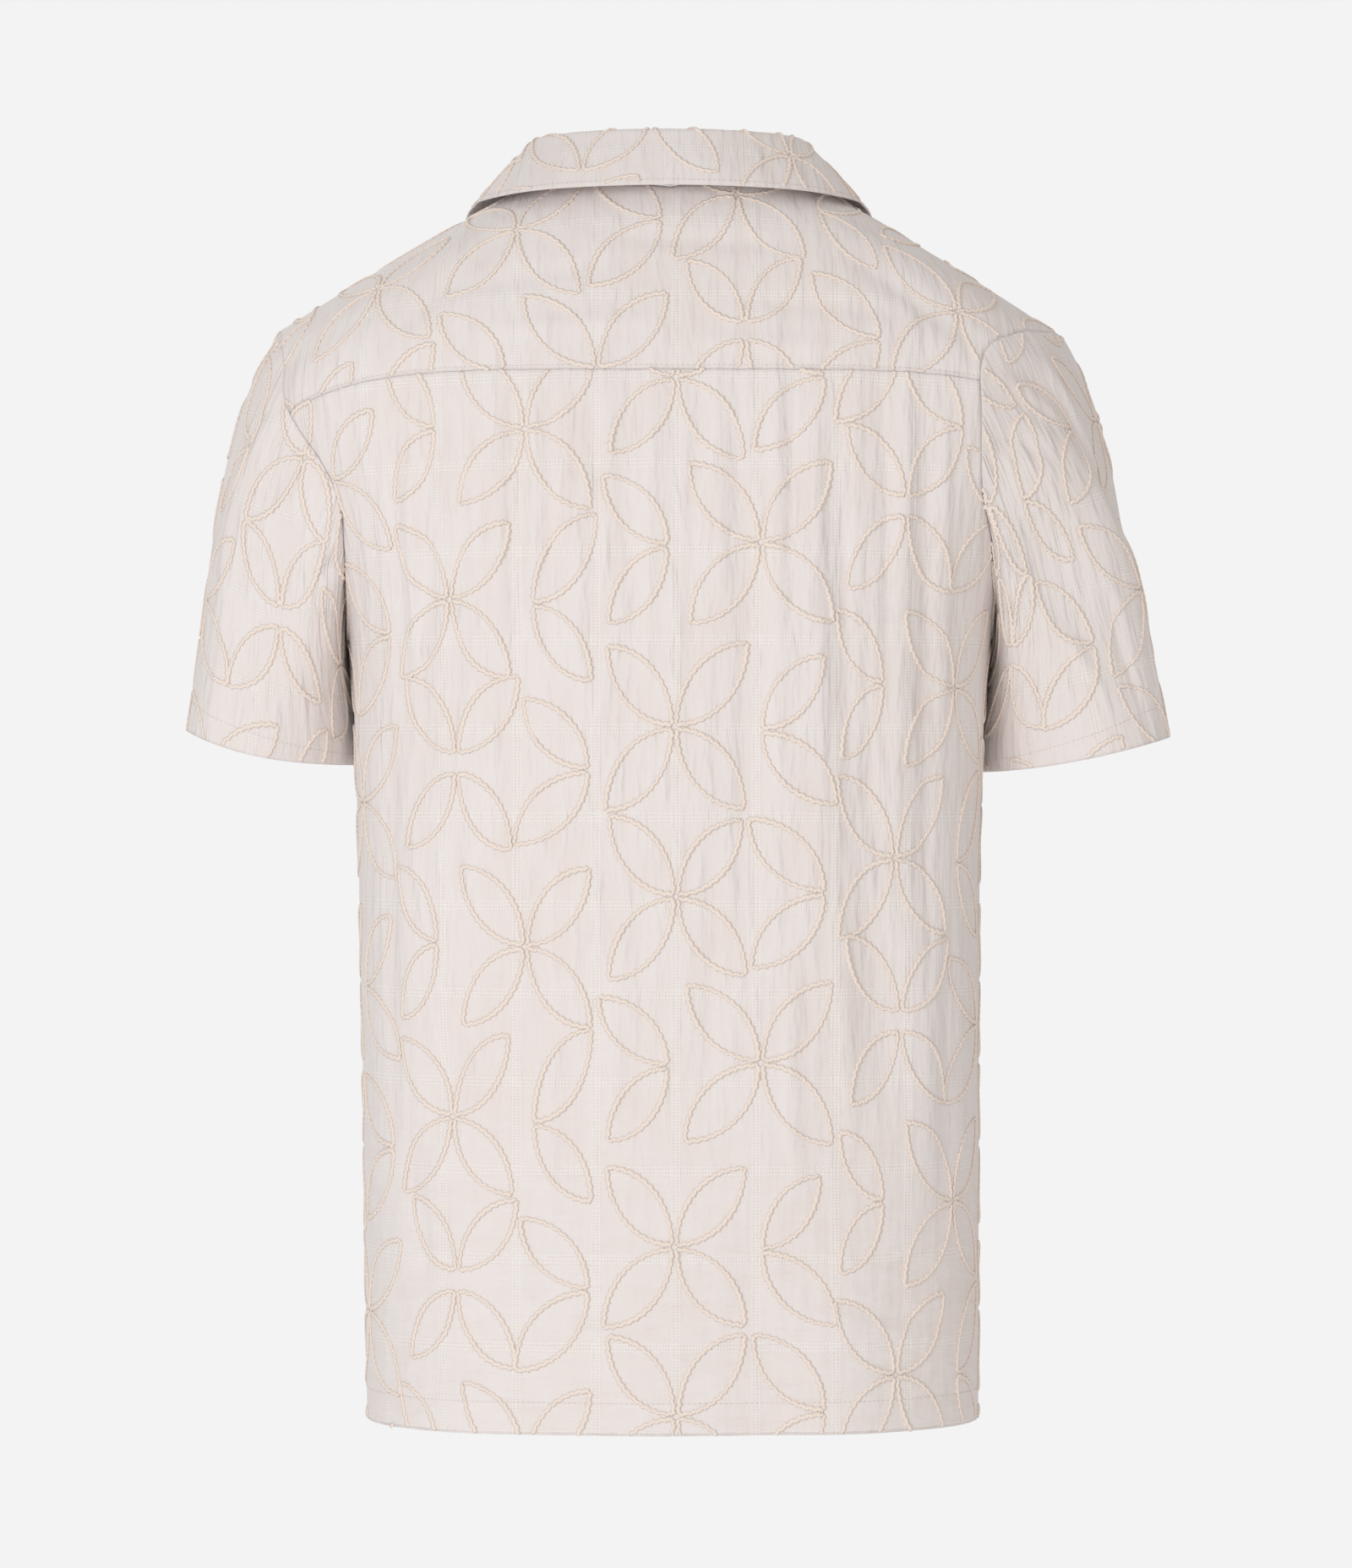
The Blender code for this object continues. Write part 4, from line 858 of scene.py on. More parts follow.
def sleeve_map(side):
    """A map of a sleeve, with its cloth's middle on top of the arm."""
    reach, share = (np.linspace(0, 1, count) for count in SLEEVE_MAP)
    points = sleeve_form(side, *np.broadcast_arrays(share[None, :], reach[:, None]))
    across = lengths(points, 1)
    across -= across[:, [len(share) // 2]]
    length = lengths(points, 0)
    down = length - length[-1] + length[-1, len(share) // 2]

    def inside(reach_at, share_at):
        return within(reach_at, SLEEVE_REACH_LIMITS) & within(share_at, SLEEVE_ROUND_LIMITS)
    return ClothMap(reach, share, sleeve_cloth(side), across, down, inside)


COLLAR_SHARES = np.linspace(-1, 1, 401)
COLLAR_FEET = collar_foot(COLLAR_SHARES)


def collar_middle(share, across):
    """The middle of the collar's cloth at pairs of ways along it and across it from its foot."""
    foot = np.stack([np.interp(share, COLLAR_SHARES, COLLAR_FEET[:, k]) for k in range(3)], axis=-1)
    fold, edge = collar_line("fold", share), collar_line("edge", share)
    over = unit((edge - foot) * (1, 1, 0)) * COLLAR_FOLD_RADIUS
    down = np.broadcast_to([0.0, 0.0, -COLLAR_FOLD_RADIUS], foot.shape)
    section = foot[:, None]
    for name, term in zip(COLLAR_SECTION_COLUMNS, (fold - foot, edge - fold, over, down)):
        section = section + column(COLLAR_SECTION, COLLAR_SECTION_COLUMNS, name)[:, None] * term[:, None]
    widths = np.linalg.norm(np.diff(section, axis=1), axis=2)
    places = np.concatenate([np.zeros((len(share), 1)), np.cumsum(widths, axis=1)], axis=1)
    places = places / places[:, -1:]
    k = np.clip((places <= across[:, None]).sum(axis=1) - 1, 0, places.shape[1] - 2)
    each = np.arange(len(share))
    slopes = np.gradient(section, axis=1) / np.gradient(places, axis=1)[..., None]
    span = (places[each, k + 1] - places[each, k])[:, None]
    t = (across - places[each, k])[:, None] / span
    return hermite(t, section[each, k], section[each, k + 1], span * slopes[each, k], span * slopes[each, k + 1])


def collar_form(share, across):
    """The collar's outer face and the direction out of it."""
    shape = np.shape(share)
    share, across = np.ravel(share), np.ravel(across)
    step = 0.004
    low, high = np.clip(share - step, -1, 1), np.clip(share + step, -1, 1)
    along = collar_middle(high, across) - collar_middle(low, across)
    low, high = np.clip(across - step, 0, 1), np.clip(across + step, 0, 1)
    normals = unit(np.cross(along, collar_middle(share, high) - collar_middle(share, low)))
    points = collar_middle(share, across) + normals * COLLAR_WALL / 2
    return points.reshape(*shape, 3), normals.reshape(*shape, 3)


def collar_map():
    """A map of the collar, from its foot over its crest to its free edge."""
    share, across = np.linspace(-1, 1, COLLAR_MAP[0]), np.linspace(0, 1, COLLAR_MAP[1])
    points = collar_form(*np.meshgrid(share, across, indexing="ij"))[0]
    along = lengths(points, 0)
    along -= along[[len(share) // 2]]

    def inside(share_at, across_at):
        return (np.abs(share_at) < COLLAR_ALONG_LIMIT) & within(across_at, COLLAR_ACROSS_LIMITS)
    return ClothMap(share, across, collar_form, along, lengths(points, 1), inside)


def grid_of(first, second):
    return np.meshgrid(first, second, indexing="ij")


def tuck_step(rows, path):
    """How far before a panel's last row the cloth starts to go under its neighbour."""
    last = np.linalg.norm(path(rows[-1:]) - path(rows[-2:-1]))
    return (rows[-1] - rows[-2]) * TUCK_WIDTH / last


def back_grid():
    low = even_places(middle_path, ROW["hem_back"], ROW["underarm_back"], BACK_DOWN[0])
    high = even_places(armhole_path("left"), ROW["underarm_back"], ROW["yoke_seam"], BACK_DOWN[1])
    step = tuck_step(high, armhole_path("left"))
    rows = np.concatenate([low, high[1:-1], [high[-1] - step, high[-1]]])
    left = armhole_angle(rows, "left")[:, None]
    right = from_side(armhole_angle(rows, "right"), "right")[:, None]
    share = np.linspace(0, 1, BACK_ACROSS)
    return np.broadcast_arrays(rows[:, None], left + (right - left) * share)


def front_grid(side):
    high = even_places(armhole_path("left"), ROW["front_yoke"], ROW["underarm_front"], FRONT_DOWN[0])
    low = even_places(middle_path, ROW["underarm_front"], ROW["hem_front"], FRONT_DOWN[1])
    step = tuck_step(high[::-1], armhole_path("left"))
    rows = np.concatenate([[high[0], high[0] - step], high[1:], low[1:]])
    outer = from_side(armhole_angle(rows, side), side)[:, None]
    edge = front_edge_angle(rows, side)[:, None]
    return np.broadcast_arrays(rows[:, None], outer + (edge - outer) * np.linspace(0, 1, FRONT_ACROSS))


def yoke_grid():
    halves = []
    for side in ("left", "right"):
        seam_share = np.linspace(0, YOKE_CORNER_SHARE, YOKE_ACROSS[0])
        end_share = np.linspace(YOKE_CORNER_SHARE, 1, YOKE_ACROSS[1])
        neck_row, neck_angle = neck_path(side, np.concatenate([seam_share, end_share[1:]]))
        middle = np.radians(NECK[0][NECK_COLUMNS.index("left")])
        corner = from_side(armhole_angle(float(ROW["yoke_seam"]), side), side)
        end_rows = np.interp(end_share[1:], column(YOKE_END, YOKE_END_COLUMNS, "share"),
                             column(YOKE_END, YOKE_END_COLUMNS, "row"))
        edge_row = np.concatenate([np.full(YOKE_ACROSS[0], float(ROW["yoke_seam"])), end_rows])
        edge_angle = np.concatenate([middle + (corner - middle) * np.linspace(0, 1, YOKE_ACROSS[0]),
                                     from_side(armhole_angle(end_rows, side), side)])
        out = np.linspace(0, 1, YOKE_DOWN)[:, None]
        halves.append((neck_row + (edge_row - neck_row) * out, neck_angle + (edge_angle - neck_angle) * out))
    return [np.concatenate([halves[0][k][:, ::-1], halves[1][k][:, 1:]], axis=1) for k in (0, 1)]


def lapel_grid(side):
    rows = np.linspace(LAPEL[0][0], LAPEL[-1][0], LAPEL_DOWN)
    edge, reach = lapel_reach(rows)
    sign = 1 if side == "left" else -1
    x = sign * (edge[:, None] + (reach - edge)[:, None] * np.linspace(0, 1, LAPEL_ACROSS))
    grid_rows = np.repeat(rows[:, None], LAPEL_ACROSS, 1)
    return grid_rows, angle_at(grid_rows, x).reshape(grid_rows.shape)


def flat_at(cloth_map, first, second):
    """Where places on a piece's form lie on its flat cloth."""
    i = np.interp(np.ravel(first), cloth_map.first, np.arange(len(cloth_map.first)))
    j = np.interp(np.ravel(second), cloth_map.second, np.arange(len(cloth_map.second)))
    return cloth_map.at(i, j).reshape(*np.shape(first), 2)


def piece_maps():
    """A map and a fine grid for each piece of cloth."""
    sides = ("left", "right")
    maps = {"back": (torso_map(0, 6, cloth, between_armholes, "hem_up"), back_grid()),
            "yoke": (torso_map(6, 11, cloth, on_yoke, "seam_up"), yoke_grid()),
            "collar": (collar_map(), grid_of(np.linspace(-1, 1, COLLAR_ALONG), np.linspace(0, 1, COLLAR_ACROSS)))}
    for side in sides:
        maps["front_" + side] = (torso_map(11, 19, front_form(side), on_front(side), "hem_down"), front_grid(side))
        reach = np.concatenate([[0, SLEEVE_TUCK], np.linspace(0, 1, SLEEVE_DOWN)[1:]])
        maps["sleeve_" + side] = (sleeve_map(side), grid_of(reach, np.linspace(0, 1, SLEEVE_ROUND)))
        maps["lapel_" + side] = (torso_map(11, 19, lapel_form, on_lapel(side), "hem_down"), lapel_grid(side))
    return maps


MAPS = piece_maps()


def leaf_lines(start, point):
    """The two bowed sides of a leaf, which leaves its start along the cloth's length and its width."""
    turn = np.linspace(0, np.pi / 2, LEAF_POINTS)[:, None]
    size = np.asarray(point) - start
    rise, run = np.sin(turn), 1 - np.cos(turn)
    return [start + np.hstack([size[0] * run, size[1] * rise]), start + np.hstack([size[0] * rise, size[1] * run])]


def pattern_lines(cloth_map, start, seed, side_step, hand):
    """The embroidery's lines over a piece's flat cloth. hand is how far a leaf may stray from its cell."""
    low, high = cloth_map.ends()
    random = np.random.default_rng(seed)
    lines = []
    for half_drop in HALF_DROPS:
        for repeat in REPEATS:
            shift = np.array(start) + (half_drop * HALF_DROP[0], half_drop * HALF_DROP[1] + repeat * REPEAT_DOWN)
            leaves = []
            for across, down, wide, tall, split in FLOWERS:
                for way_across in (-1, 1):
                    for way_down in (-1, 1):
                        base = np.array([across + way_across * side_step, down + way_down * (split + side_step)])
                        leaves.append((base, base + (way_across * wide, way_down * tall)))
            for x_start, y_start, x_point, y_point, x_end, y_end in SPRIGS:
                leaves.append((np.array([x_point, y_point - side_step]), np.array([x_start, y_start])))
                leaves.append((np.array([x_point, y_point + side_step]), np.array([x_end, y_end])))
            for base, point in leaves:
                point = point + random.uniform(-hand, hand, 2)
                base, point = base + shift, point + shift
                if (np.maximum(base, point) > low).all() and (np.minimum(base, point) < high).all():
                    lines += leaf_lines(base, point)
    return lines


def even_line(line, spacing):
    """A line with its points evenly spaced."""
    length = np.concatenate([[0], np.cumsum(np.linalg.norm(np.diff(line, axis=0), axis=1))])
    even = np.linspace(0, length[-1], max(int(length[-1] / spacing), 2) + 1)
    return np.stack([np.interp(even, length, line[:, k]) for k in range(line.shape[1])], axis=1)


def cloth_runs(cloth_map, lines, least):
    """Lays flat lines on a piece's form, and cuts them where they leave the piece."""
    places = np.concatenate(lines)
    first, second, on_it = cloth_map.locate(places)
    points, normals = cloth_map.form(first, second)
    runs, at = [], 0
    for line in lines:
        held = on_it[at:at + len(line)]
        edges = np.flatnonzero(np.diff(np.concatenate([[0], held.astype(int), [0]])))
        for low, high in edges.reshape(-1, 2):
            if high - low >= least:
                runs.append((points[at + low:at + high], normals[at + low:at + high]))
        at += len(line)
    return runs


def new_mesh(name, vertices, faces, flat):
    """A mesh whose map called flat holds a place for each vertex, or for each corner of its faces."""
    mesh = bpy.data.meshes.new(name)
    mesh.from_pydata(vertices.tolist(), [], faces)
    layer = mesh.uv_layers.new(name="flat")
    if len(flat) == len(vertices):
        corner = np.empty(len(mesh.loops), int)
        mesh.loops.foreach_get("vertex_index", corner)
        flat = flat[corner]
    layer.data.foreach_set("uv", np.ascontiguousarray(flat, float).ravel())
    mesh.shade_smooth()
    piece = bpy.data.objects.new(name, mesh)
    bpy.context.scene.collection.objects.link(piece)
    return piece


def select_only(piece):
    bpy.ops.object.select_all(action="DESELECT")
    piece.select_set(True)
    bpy.context.view_layer.objects.active = piece


def apply_modifiers(piece):
    select_only(piece)
    for modifier in list(piece.modifiers):
        bpy.ops.object.modifier_apply(modifier=modifier.name)


def finish_piece(piece, slot, material, *nodes):
    """Gives a finished piece its material and its body, and hides the solids that it stands for. The slot argument
    is not used.
    """
    piece.data.materials.clear()
    piece.data.materials.append(material)
    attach(piece, "root")
    if nodes:
        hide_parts(*nodes)


def cloth_sheet(name, settings, tube):
    """A piece's cloth: a fine grid on its form, tucked under its neighbour at one seam, with a thin wall."""
    cloth_map, (first, second) = MAPS[name]
    points, normals = cloth_map.form(first, second)
    rows, columns = points.shape[:2]
    if name in TUCKED:
        points[TUCKED[name]] -= normals[TUCKED[name]] * TUCK
    kept = columns - 1 if tube else columns
    number = np.arange(rows)[:, None] * kept + np.arange(columns) % kept
    place = np.arange(rows * columns).reshape(rows, columns)
    faces, corners = (np.stack([grid[:-1, :-1], grid[1:, :-1], grid[1:, 1:], grid[:-1, 1:]], axis=-1).reshape(-1, 4)
                      for grid in (number, place))
    shape = points.reshape(-1, 3)
    a, b, c = (shape[corners[:, k]] for k in (0, 1, 2))
    if np.sum(np.cross(b - a, c - a) * normals.reshape(-1, 3)[corners[:, 0]]) < 0:
        faces, corners = faces[:, ::-1], corners[:, ::-1]
    flat = flat_at(cloth_map, first, second).reshape(-1, 2)[corners.reshape(-1)]
    piece = new_mesh("cloth_" + name, points[:, :kept].reshape(-1, 3), faces.tolist(), flat)
    wall = piece.modifiers.new("wall", "SOLIDIFY")
    wall.thickness, wall.offset, wall.use_rim = settings.thickness, -1.0, True
    apply_modifiers(piece)
    return piece


def threads(name, runs, wide, high, sides, crimp, seed):
    """Threads that lie on the cloth along runs of points. crimp is how deep and how long its waves are."""
    random = np.random.default_rng(seed)
    round_it = 2 * np.pi * (np.arange(sides) + 0.5) / sides - np.pi / 2
    vertices, faces, flat, start = [], [], [], 0
    for points, normals in runs:
        count = len(points)
        along = unit(np.gradient(points, axis=0))
        side = unit(np.cross(normals, along))
        length = np.concatenate([[0], np.cumsum(np.linalg.norm(np.diff(points, axis=0), axis=1))])
        phase, drift = random.uniform(0, 2 * np.pi, 2)
        wave = np.sin(2 * np.pi * length / crimp[1] + phase)
        slow = 1 + SLOW_SWELL * np.sin(length / SLOW_LENGTH + drift)
        swell = (1 + CRIMP_SWELL * np.cos(4 * np.pi * length / crimp[1] + phase)) * slow
        ends = np.where((np.arange(count) == 0) | (np.arange(count) == count - 1), END_SHARE, 1.0)
        centre = points + normals * (high * SEATED) + side * (wave * crimp[0])[:, None]
        across = side[:, None] * (np.cos(round_it)[None, :, None] * (wide * swell * ends)[:, None, None])
        upward = normals[:, None] * (np.sin(round_it)[None, :, None] * (high * slow * ends)[:, None, None])
        vertices.append((centre[:, None] + across + upward).reshape(-1, 3))
        # The map's second way runs from low on a thread's sides to its top; the finishes paint shade low down by it
        flat.append(np.stack([np.repeat(length, sides), np.tile((np.sin(round_it) + 1) / 2, count)], axis=1))
        number = start + np.arange(count * sides).reshape(count, sides)
        turned = np.roll(number, -1, axis=1)
        quads = np.stack([number[:-1], turned[:-1], turned[1:], number[1:]], axis=-1).reshape(-1, 4)
        faces += quads.tolist() + [number[0, ::-1].tolist(), number[-1].tolist()]
        start += count * sides
    return new_mesh(name, np.concatenate(vertices), faces, np.concatenate(flat))


def stitch_runs(cloth_map, first, second, settings):
    """A row of stitches along a line on a piece's form, as short runs that dive into the cloth at both ends."""
    first, second = np.broadcast_arrays(np.asarray(first, float), np.asarray(second, float))
    length = lengths(cloth_map.form(first, second)[0][None], 1)[0]
    starts = np.arange(0, length[-1] - settings.stitch_pitch, settings.stitch_pitch)
    each = len(STITCH_DIVE)
    where = (starts[:, None] + np.linspace(0, settings.stitch_length, each)).reshape(-1)
    first, second = np.interp(where, length, first), np.interp(where, length, second)
    points, normals = cloth_map.form(first, second)
    points = points + normals * np.tile(STITCH_DIVE, len(starts))[:, None]
    runs = [array.reshape(len(starts), each, -1) for array in (points, normals, cloth_map.inside(first, second))]
    return [(run, normal) for run, normal, held in zip(*runs) if held.all()]


class Value:
    """A socket in a finish's nodes. Arithmetic on it adds Math nodes."""

    def __init__(self, finish, socket):
        self.finish, self.socket = finish, socket

    def math(self, operation, first, second=0.0):
        return self.finish.node("ShaderNodeMath", {"operation": operation}, {0: first, 1: second})

    def __add__(self, other):
        return self.math("ADD", self, other)

    def __sub__(self, other):
        return self.math("SUBTRACT", self, other)

    def __mul__(self, other):
        return self.math("MULTIPLY", self, other)

    def __truediv__(self, other):
        return self.math("DIVIDE", self, other)

    def __rsub__(self, other):
        return self.math("SUBTRACT", other, self)

    def __abs__(self):
        return self.math("ABSOLUTE", self)

    def most(self, other):
        return self.math("MAXIMUM", self, other)

    def fraction(self):
        return self.math("FRACT", self)

    def wave(self):
        return self.math("SINE", self)

    def below(self, limit, soft):
        """1 below a limit and 0 above it, with a soft edge."""
        return self.finish.node("ShaderNodeMapRange", {"interpolation_type": "SMOOTHSTEP"},
                                {"Value": self, "From Min": limit - soft, "From Max": limit + soft,
                                 "To Min": 1.0, "To Max": 0.0})


class Finish:
    """A material and the nodes that give its look."""

    def __init__(self, name, roughness, fixed=()):
        self.material = bpy.data.materials.new(name)
        self.material.use_nodes = True
        self.nodes, self.links = self.material.node_tree.nodes, self.material.node_tree.links
        self.shader = self.nodes["Principled BSDF"]
        self.shader.inputs["Roughness"].default_value = roughness
        for socket, value in dict(fixed).items():
            self.shader.inputs[socket].default_value = value

    def feed(self, socket, value):
        if isinstance(value, Value):
            self.links.new(value.socket, socket)
        else:
            socket.default_value = value

    def node(self, kind, settings, inputs, output=0):
        node = self.nodes.new(kind)
        for name, value in settings.items():
            setattr(node, name, value)
        for name, value in inputs.items():
            self.feed(node.inputs[name], value)
        return Value(self, node.outputs[output])

    def flat(self):
        """The flat cloth's two ways, in metres."""
        place = self.node("ShaderNodeUVMap", {"uv_map": "flat"}, {})
        split = self.nodes.new("ShaderNodeSeparateXYZ")
        self.feed(split.inputs[0], place)
        return Value(self, split.outputs[0]), Value(self, split.outputs[1])

    def noise(self, across, down, detail=2.0, offset=0.0):
        place = self.node("ShaderNodeCombineXYZ", {}, {"X": across, "Y": down, "Z": offset})
        return self.node("ShaderNodeTexNoise", {"noise_dimensions": "3D"},
                         {"Vector": place, "Scale": 1.0, "Detail": detail})

    def cloud(self, scale, detail, distortion=0.0):
        """Soft noise in the piece's own space."""
        place = self.node("ShaderNodeTexCoord", {}, {}, 3)
        return self.node("ShaderNodeTexNoise", {"noise_dimensions": "3D"},
                         {"Vector": place, "Scale": scale, "Detail": detail, "Distortion": distortion})

    def mix(self, share, first, second):
        """A mix of two colours, of which the second shows where share is 1."""
        first, second = (colour if isinstance(colour, Value) else (*colour, 1.0) for colour in (first, second))
        return self.node("ShaderNodeMix", {"data_type": "RGBA"}, {0: share, 6: first, 7: second}, 2)

    def bump(self, height, strength, distance, under=None):
        inputs = {"Height": height, "Strength": strength, "Distance": distance}
        if under is not None:
            inputs["Normal"] = under
        return self.node("ShaderNodeBump", {}, inputs)

    def wear(self, colour, normal=None):
        self.feed(self.shader.inputs["Base Color"], colour)
        if normal is not None:
            self.feed(self.shader.inputs["Normal"], normal)
        return self.material


# The cloth's noises, as waves to the metre across and down, detail and offset: warmer patches, puckers up and
# down, puckers across above the hem, and thicker threads both ways
WEAVE_NOISES = (
    (16.0, 9.0, 2.0, 0.0),
    (120.0, 24.0, 2.0, 3.0),
    (34.0, 110.0, 2.0, 5.0),
    (1500.0, 130.0, 1.0, 7.0),
    (130.0, 1500.0, 1.0, 9.0),
)


def line_group(finish, across, along, pitch, start):
    """A group of three dotted woven lines in each pitch: 1 on the dots."""
    between, width, dot = 0.0021, 0.0033, 0.0017
    away = ((across / pitch + start).fraction() - 0.5) * pitch
    held = abs(away).below(width, 0.0003)
    lines = (away * (2 * np.pi / between) + np.pi / 2).wave().below(-0.1, 0.6)
    dots = (along * (2 * np.pi / dot)).wave().below(-0.3, 0.8)
    return held * (1 - lines) * (1 - dots), held


def cloth_finish(name, settings):
    """Thin crisp cotton with fine threads, woven dotted lines and small puckers, and painted warm shade in the
    puckers' hollows.
    """
    finish = Finish(name, 0.85, {"Sheen Weight": 0.12, "Sheen Roughness": 0.6, "Specular IOR Level": 0.2})
    across, down = finish.flat()
    dots_down, band_down = line_group(finish, across, down, settings.line_pitch_across, 0.5)
    dots_across, band_across = line_group(finish, down, across, settings.line_pitch_down, 0.42)
    dots, bands = dots_down.most(dots_across), band_down.most(band_across)
    broad, upright, level, slub, slub_across = (
        finish.noise(across * wide, down * tall, detail, offset) for wide, tall, detail, offset in WEAVE_NOISES)
    low = (1 - down.below(0.40, 0.16)) * 0.7
    pucker = upright * (1 - low) + level * low
    # The warm colour shows in broad random patches, and as painted warm shade where the puckers are low
    tint = finish.mix((broad - 0.35) * 1.2 + (0.5 - pucker) * 1.6 + bands * 0.1, settings.light_colour,
                      settings.warm_tone_and_painted_shade)
    tint = finish.mix(dots * 0.75, tint, settings.line_colour)
    relief = finish.bump(pucker, 0.9, 0.0036)
    relief = finish.bump(slub + slub_across, 0.35, 0.00025, relief)
    relief = finish.bump(dots, 0.8, 0.0002, relief)
    return finish.wear(tint, relief)


def cord_finish(settings):
    """Soft crimped cord: pale on top, with painted shade low down at its sides and in the hollows of its crimps,
    and random fibre tone.
    """
    finish = Finish("couched_cord", 0.9, {"Sheen Weight": 0.10, "Specular IOR Level": 0.2})
    along, height = finish.flat()
    fibre = finish.noise(along * 900.0, height * 3.0, 3.0)
    crimp = (along * (2 * np.pi / 0.0021)).wave()
    # Painted shade: darker low on the cord's sides and in its crimps, mixed with random fibre tone
    shade = (1 - height) * 1.2 - 0.35 + (fibre - 0.5) * 0.7 + crimp * 0.10
    tint = finish.mix(shade, settings.cord_colour, settings.cord_painted_shade_and_fibre)
    relief = finish.bump(fibre + crimp * 0.5, 0.5, 0.0004)
    return finish.wear(tint, relief)


def sewing_finish(settings):
    """Fine twisted sewing thread, with painted shade low down on its sides."""
    finish = Finish("sewing_thread", 0.7)
    along, height = finish.flat()
    twist = ((along + height * 0.0004) * (2 * np.pi / 0.0005)).wave()
    # Painted shade: the thread darkens low down at its sides
    tint = finish.mix((1 - height) * 0.8, settings.thread_colour, settings.thread_painted_shade)
    return finish.wear(tint, finish.bump(twist, 0.5, 0.0001))


def shell_finish(settings):
    """Pale shell buttons with soft cloudy bands."""
    finish = Finish("shell_button", 0.28, {"Coat Weight": 0.4, "Coat Roughness": 0.12})
    cloud = finish.cloud(260.0, 4.0, 1.2)
    tint = finish.mix((cloud - 0.3) * 1.8, settings.shell_colour, settings.shell_shade)
    return finish.wear(tint, finish.bump(cloud, 0.15, 0.0002))


def floor_finish(settings):
    """A plain pale floor."""
    finish = Finish("pale_floor", 0.9)
    paler = tuple(min(part * 1.03, 1.0) for part in settings.floor_colour)
    return finish.wear(finish.mix(finish.cloud(3.0, 2.0), settings.floor_colour, paler))


def at_length(cloth_map, wanted):
    """The value of a map's first way where its middle line is a length down the flat cloth."""
    line = cloth_map.flat[:, cloth_map.flat.shape[1] // 2, 1]
    order = np.argsort(line)
    return np.interp(wanted, line[order], cloth_map.first[order])


def sewn_lines(name):
    """The rows of stitches on a piece, as lines over its form."""
    cloth_map = MAPS[name][0]
    middle = cloth_map.flat.shape[1] // 2
    if name == "back":
        hem = at_length(cloth_map, cloth_map.flat[0, middle, 1] - HEM_STITCH)
        return [(hem, np.linspace(HEM_ENDS, np.pi - HEM_ENDS, 400))]
    if name == "yoke":
        seam = at_length(cloth_map, -EDGE_STITCH)
        front = ROW["front_yoke"] - FRONT_YOKE_STITCH
        return [(seam, np.linspace(YOKE_ENDS, np.pi - YOKE_ENDS, 400)),
                (front, np.linspace(YOKE_ENDS, FRONT_YOKE_END, 120)),
                (front, np.linspace(np.pi - FRONT_YOKE_END, np.pi - YOKE_ENDS, 120))]
    if name.startswith("front"):
        side = name.split("_")[1]
        hem = at_length(cloth_map, HEM_DOWN - HEM_STITCH)
        lines = [(hem, np.linspace(HEM_ENDS, np.pi - HEM_ENDS, 400))]
        if side == "left":
            rows = np.linspace(LAPEL[-1][0] + PLACKET_TOP, ROW["hem_front"] - PLACKET_FOOT, 300)
            lines += [(rows, angle_at(rows, np.full(300, x))) for x in PLACKET_STITCHES]
        return lines
    if name.startswith("sleeve"):
        cuff = at_length(cloth_map, cloth_map.flat[-1, middle, 1] - CUFF_STITCH)
        return [(cuff, np.linspace(CUFF_ENDS, 1 - CUFF_ENDS, 300))]
    if name == "collar":
        along = np.linspace(-COLLAR_ENDS, COLLAR_ENDS, 400)
        ends = np.linspace(COLLAR_END_START, COLLAR_EDGE_STITCH, 60)
        return [(along, COLLAR_EDGE_STITCH), (-COLLAR_ENDS, ends), (COLLAR_ENDS, ends)]
    rows = np.linspace(LAPEL[0][0], LAPEL[-1][0], 120)
    sign = 1 if name.endswith("left") else -1
    return [(rows, angle_at(rows, sign * (lapel_reach(rows)[0] + LAPEL_EDGE_STITCH)))]


def sewn(name, runs, wide, sides, seed):
    """Plain sewing thread along runs of points."""
    piece = threads(name, runs, wide, wide, sides, NO_CRIMP, seed)
    finish_piece(piece, "cloth", finishes()["sewing"])
    return piece


def dress(name, tube=False):
    """Makes a piece's cloth, its couched cord and its stitches."""
    scene = bpy.context.scene
    cloth_settings, cord, sewing = scene.shirt_cloth, scene.shirt_cord, scene.shirt_sewing
    cloth_map = MAPS[name][0]
    seed = list(MAPS).index(name) + 1
    cloth_piece = cloth_sheet(name, cloth_settings, tube)
    finish_piece(cloth_piece, "cloth", finishes()["cloth"], name)
    lines = pattern_lines(cloth_map, PATTERN_START[name], seed, cord.width / 2, cord.hand)
    runs = cloth_runs(cloth_map, [even_line(line, cord.spacing) for line in lines], CORD_LEAST)
    cords = threads("cords_" + name, runs, cord.width / 2, cord.height / 2, CORD_SIDES,
                    (cord.crimp_depth, cord.crimp_length), seed)
    finish_piece(cords, "cloth", finishes()["cord"])
    rows = [run for line in sewn_lines(name) for run in stitch_runs(cloth_map, *line, sewing)]
    stitches = sewn("stitches_" + name, rows, sewing.thread_width / 2, STITCH_SIDES, seed)


def finishes():
    """The materials, each made once from the settings."""
    scene = bpy.context.scene
    makers = {"cloth": ("crisp_voile", lambda: cloth_finish("crisp_voile", scene.shirt_cloth)),
              "cord": ("couched_cord", lambda: cord_finish(scene.shirt_cord)),
              "sewing": ("sewing_thread", lambda: sewing_finish(scene.shirt_sewing)),
              "shell": ("shell_button", lambda: shell_finish(scene.shirt_sewing)),
              "floor": ("pale_floor", lambda: floor_finish(scene.shirt_stage))}
    made = {}
    for key, (name, make) in makers.items():
        made[key] = bpy.data.materials.get(name) or make()
    return made


def select_faces(mesh, wanted):
    """Selects the faces of a mesh in edit mode for which wanted(face) is true."""
    mesh.select_mode = {"FACE"}
    for face in mesh.faces:
        face.select_set(bool(wanted(face)))
    mesh.select_flush_mode()


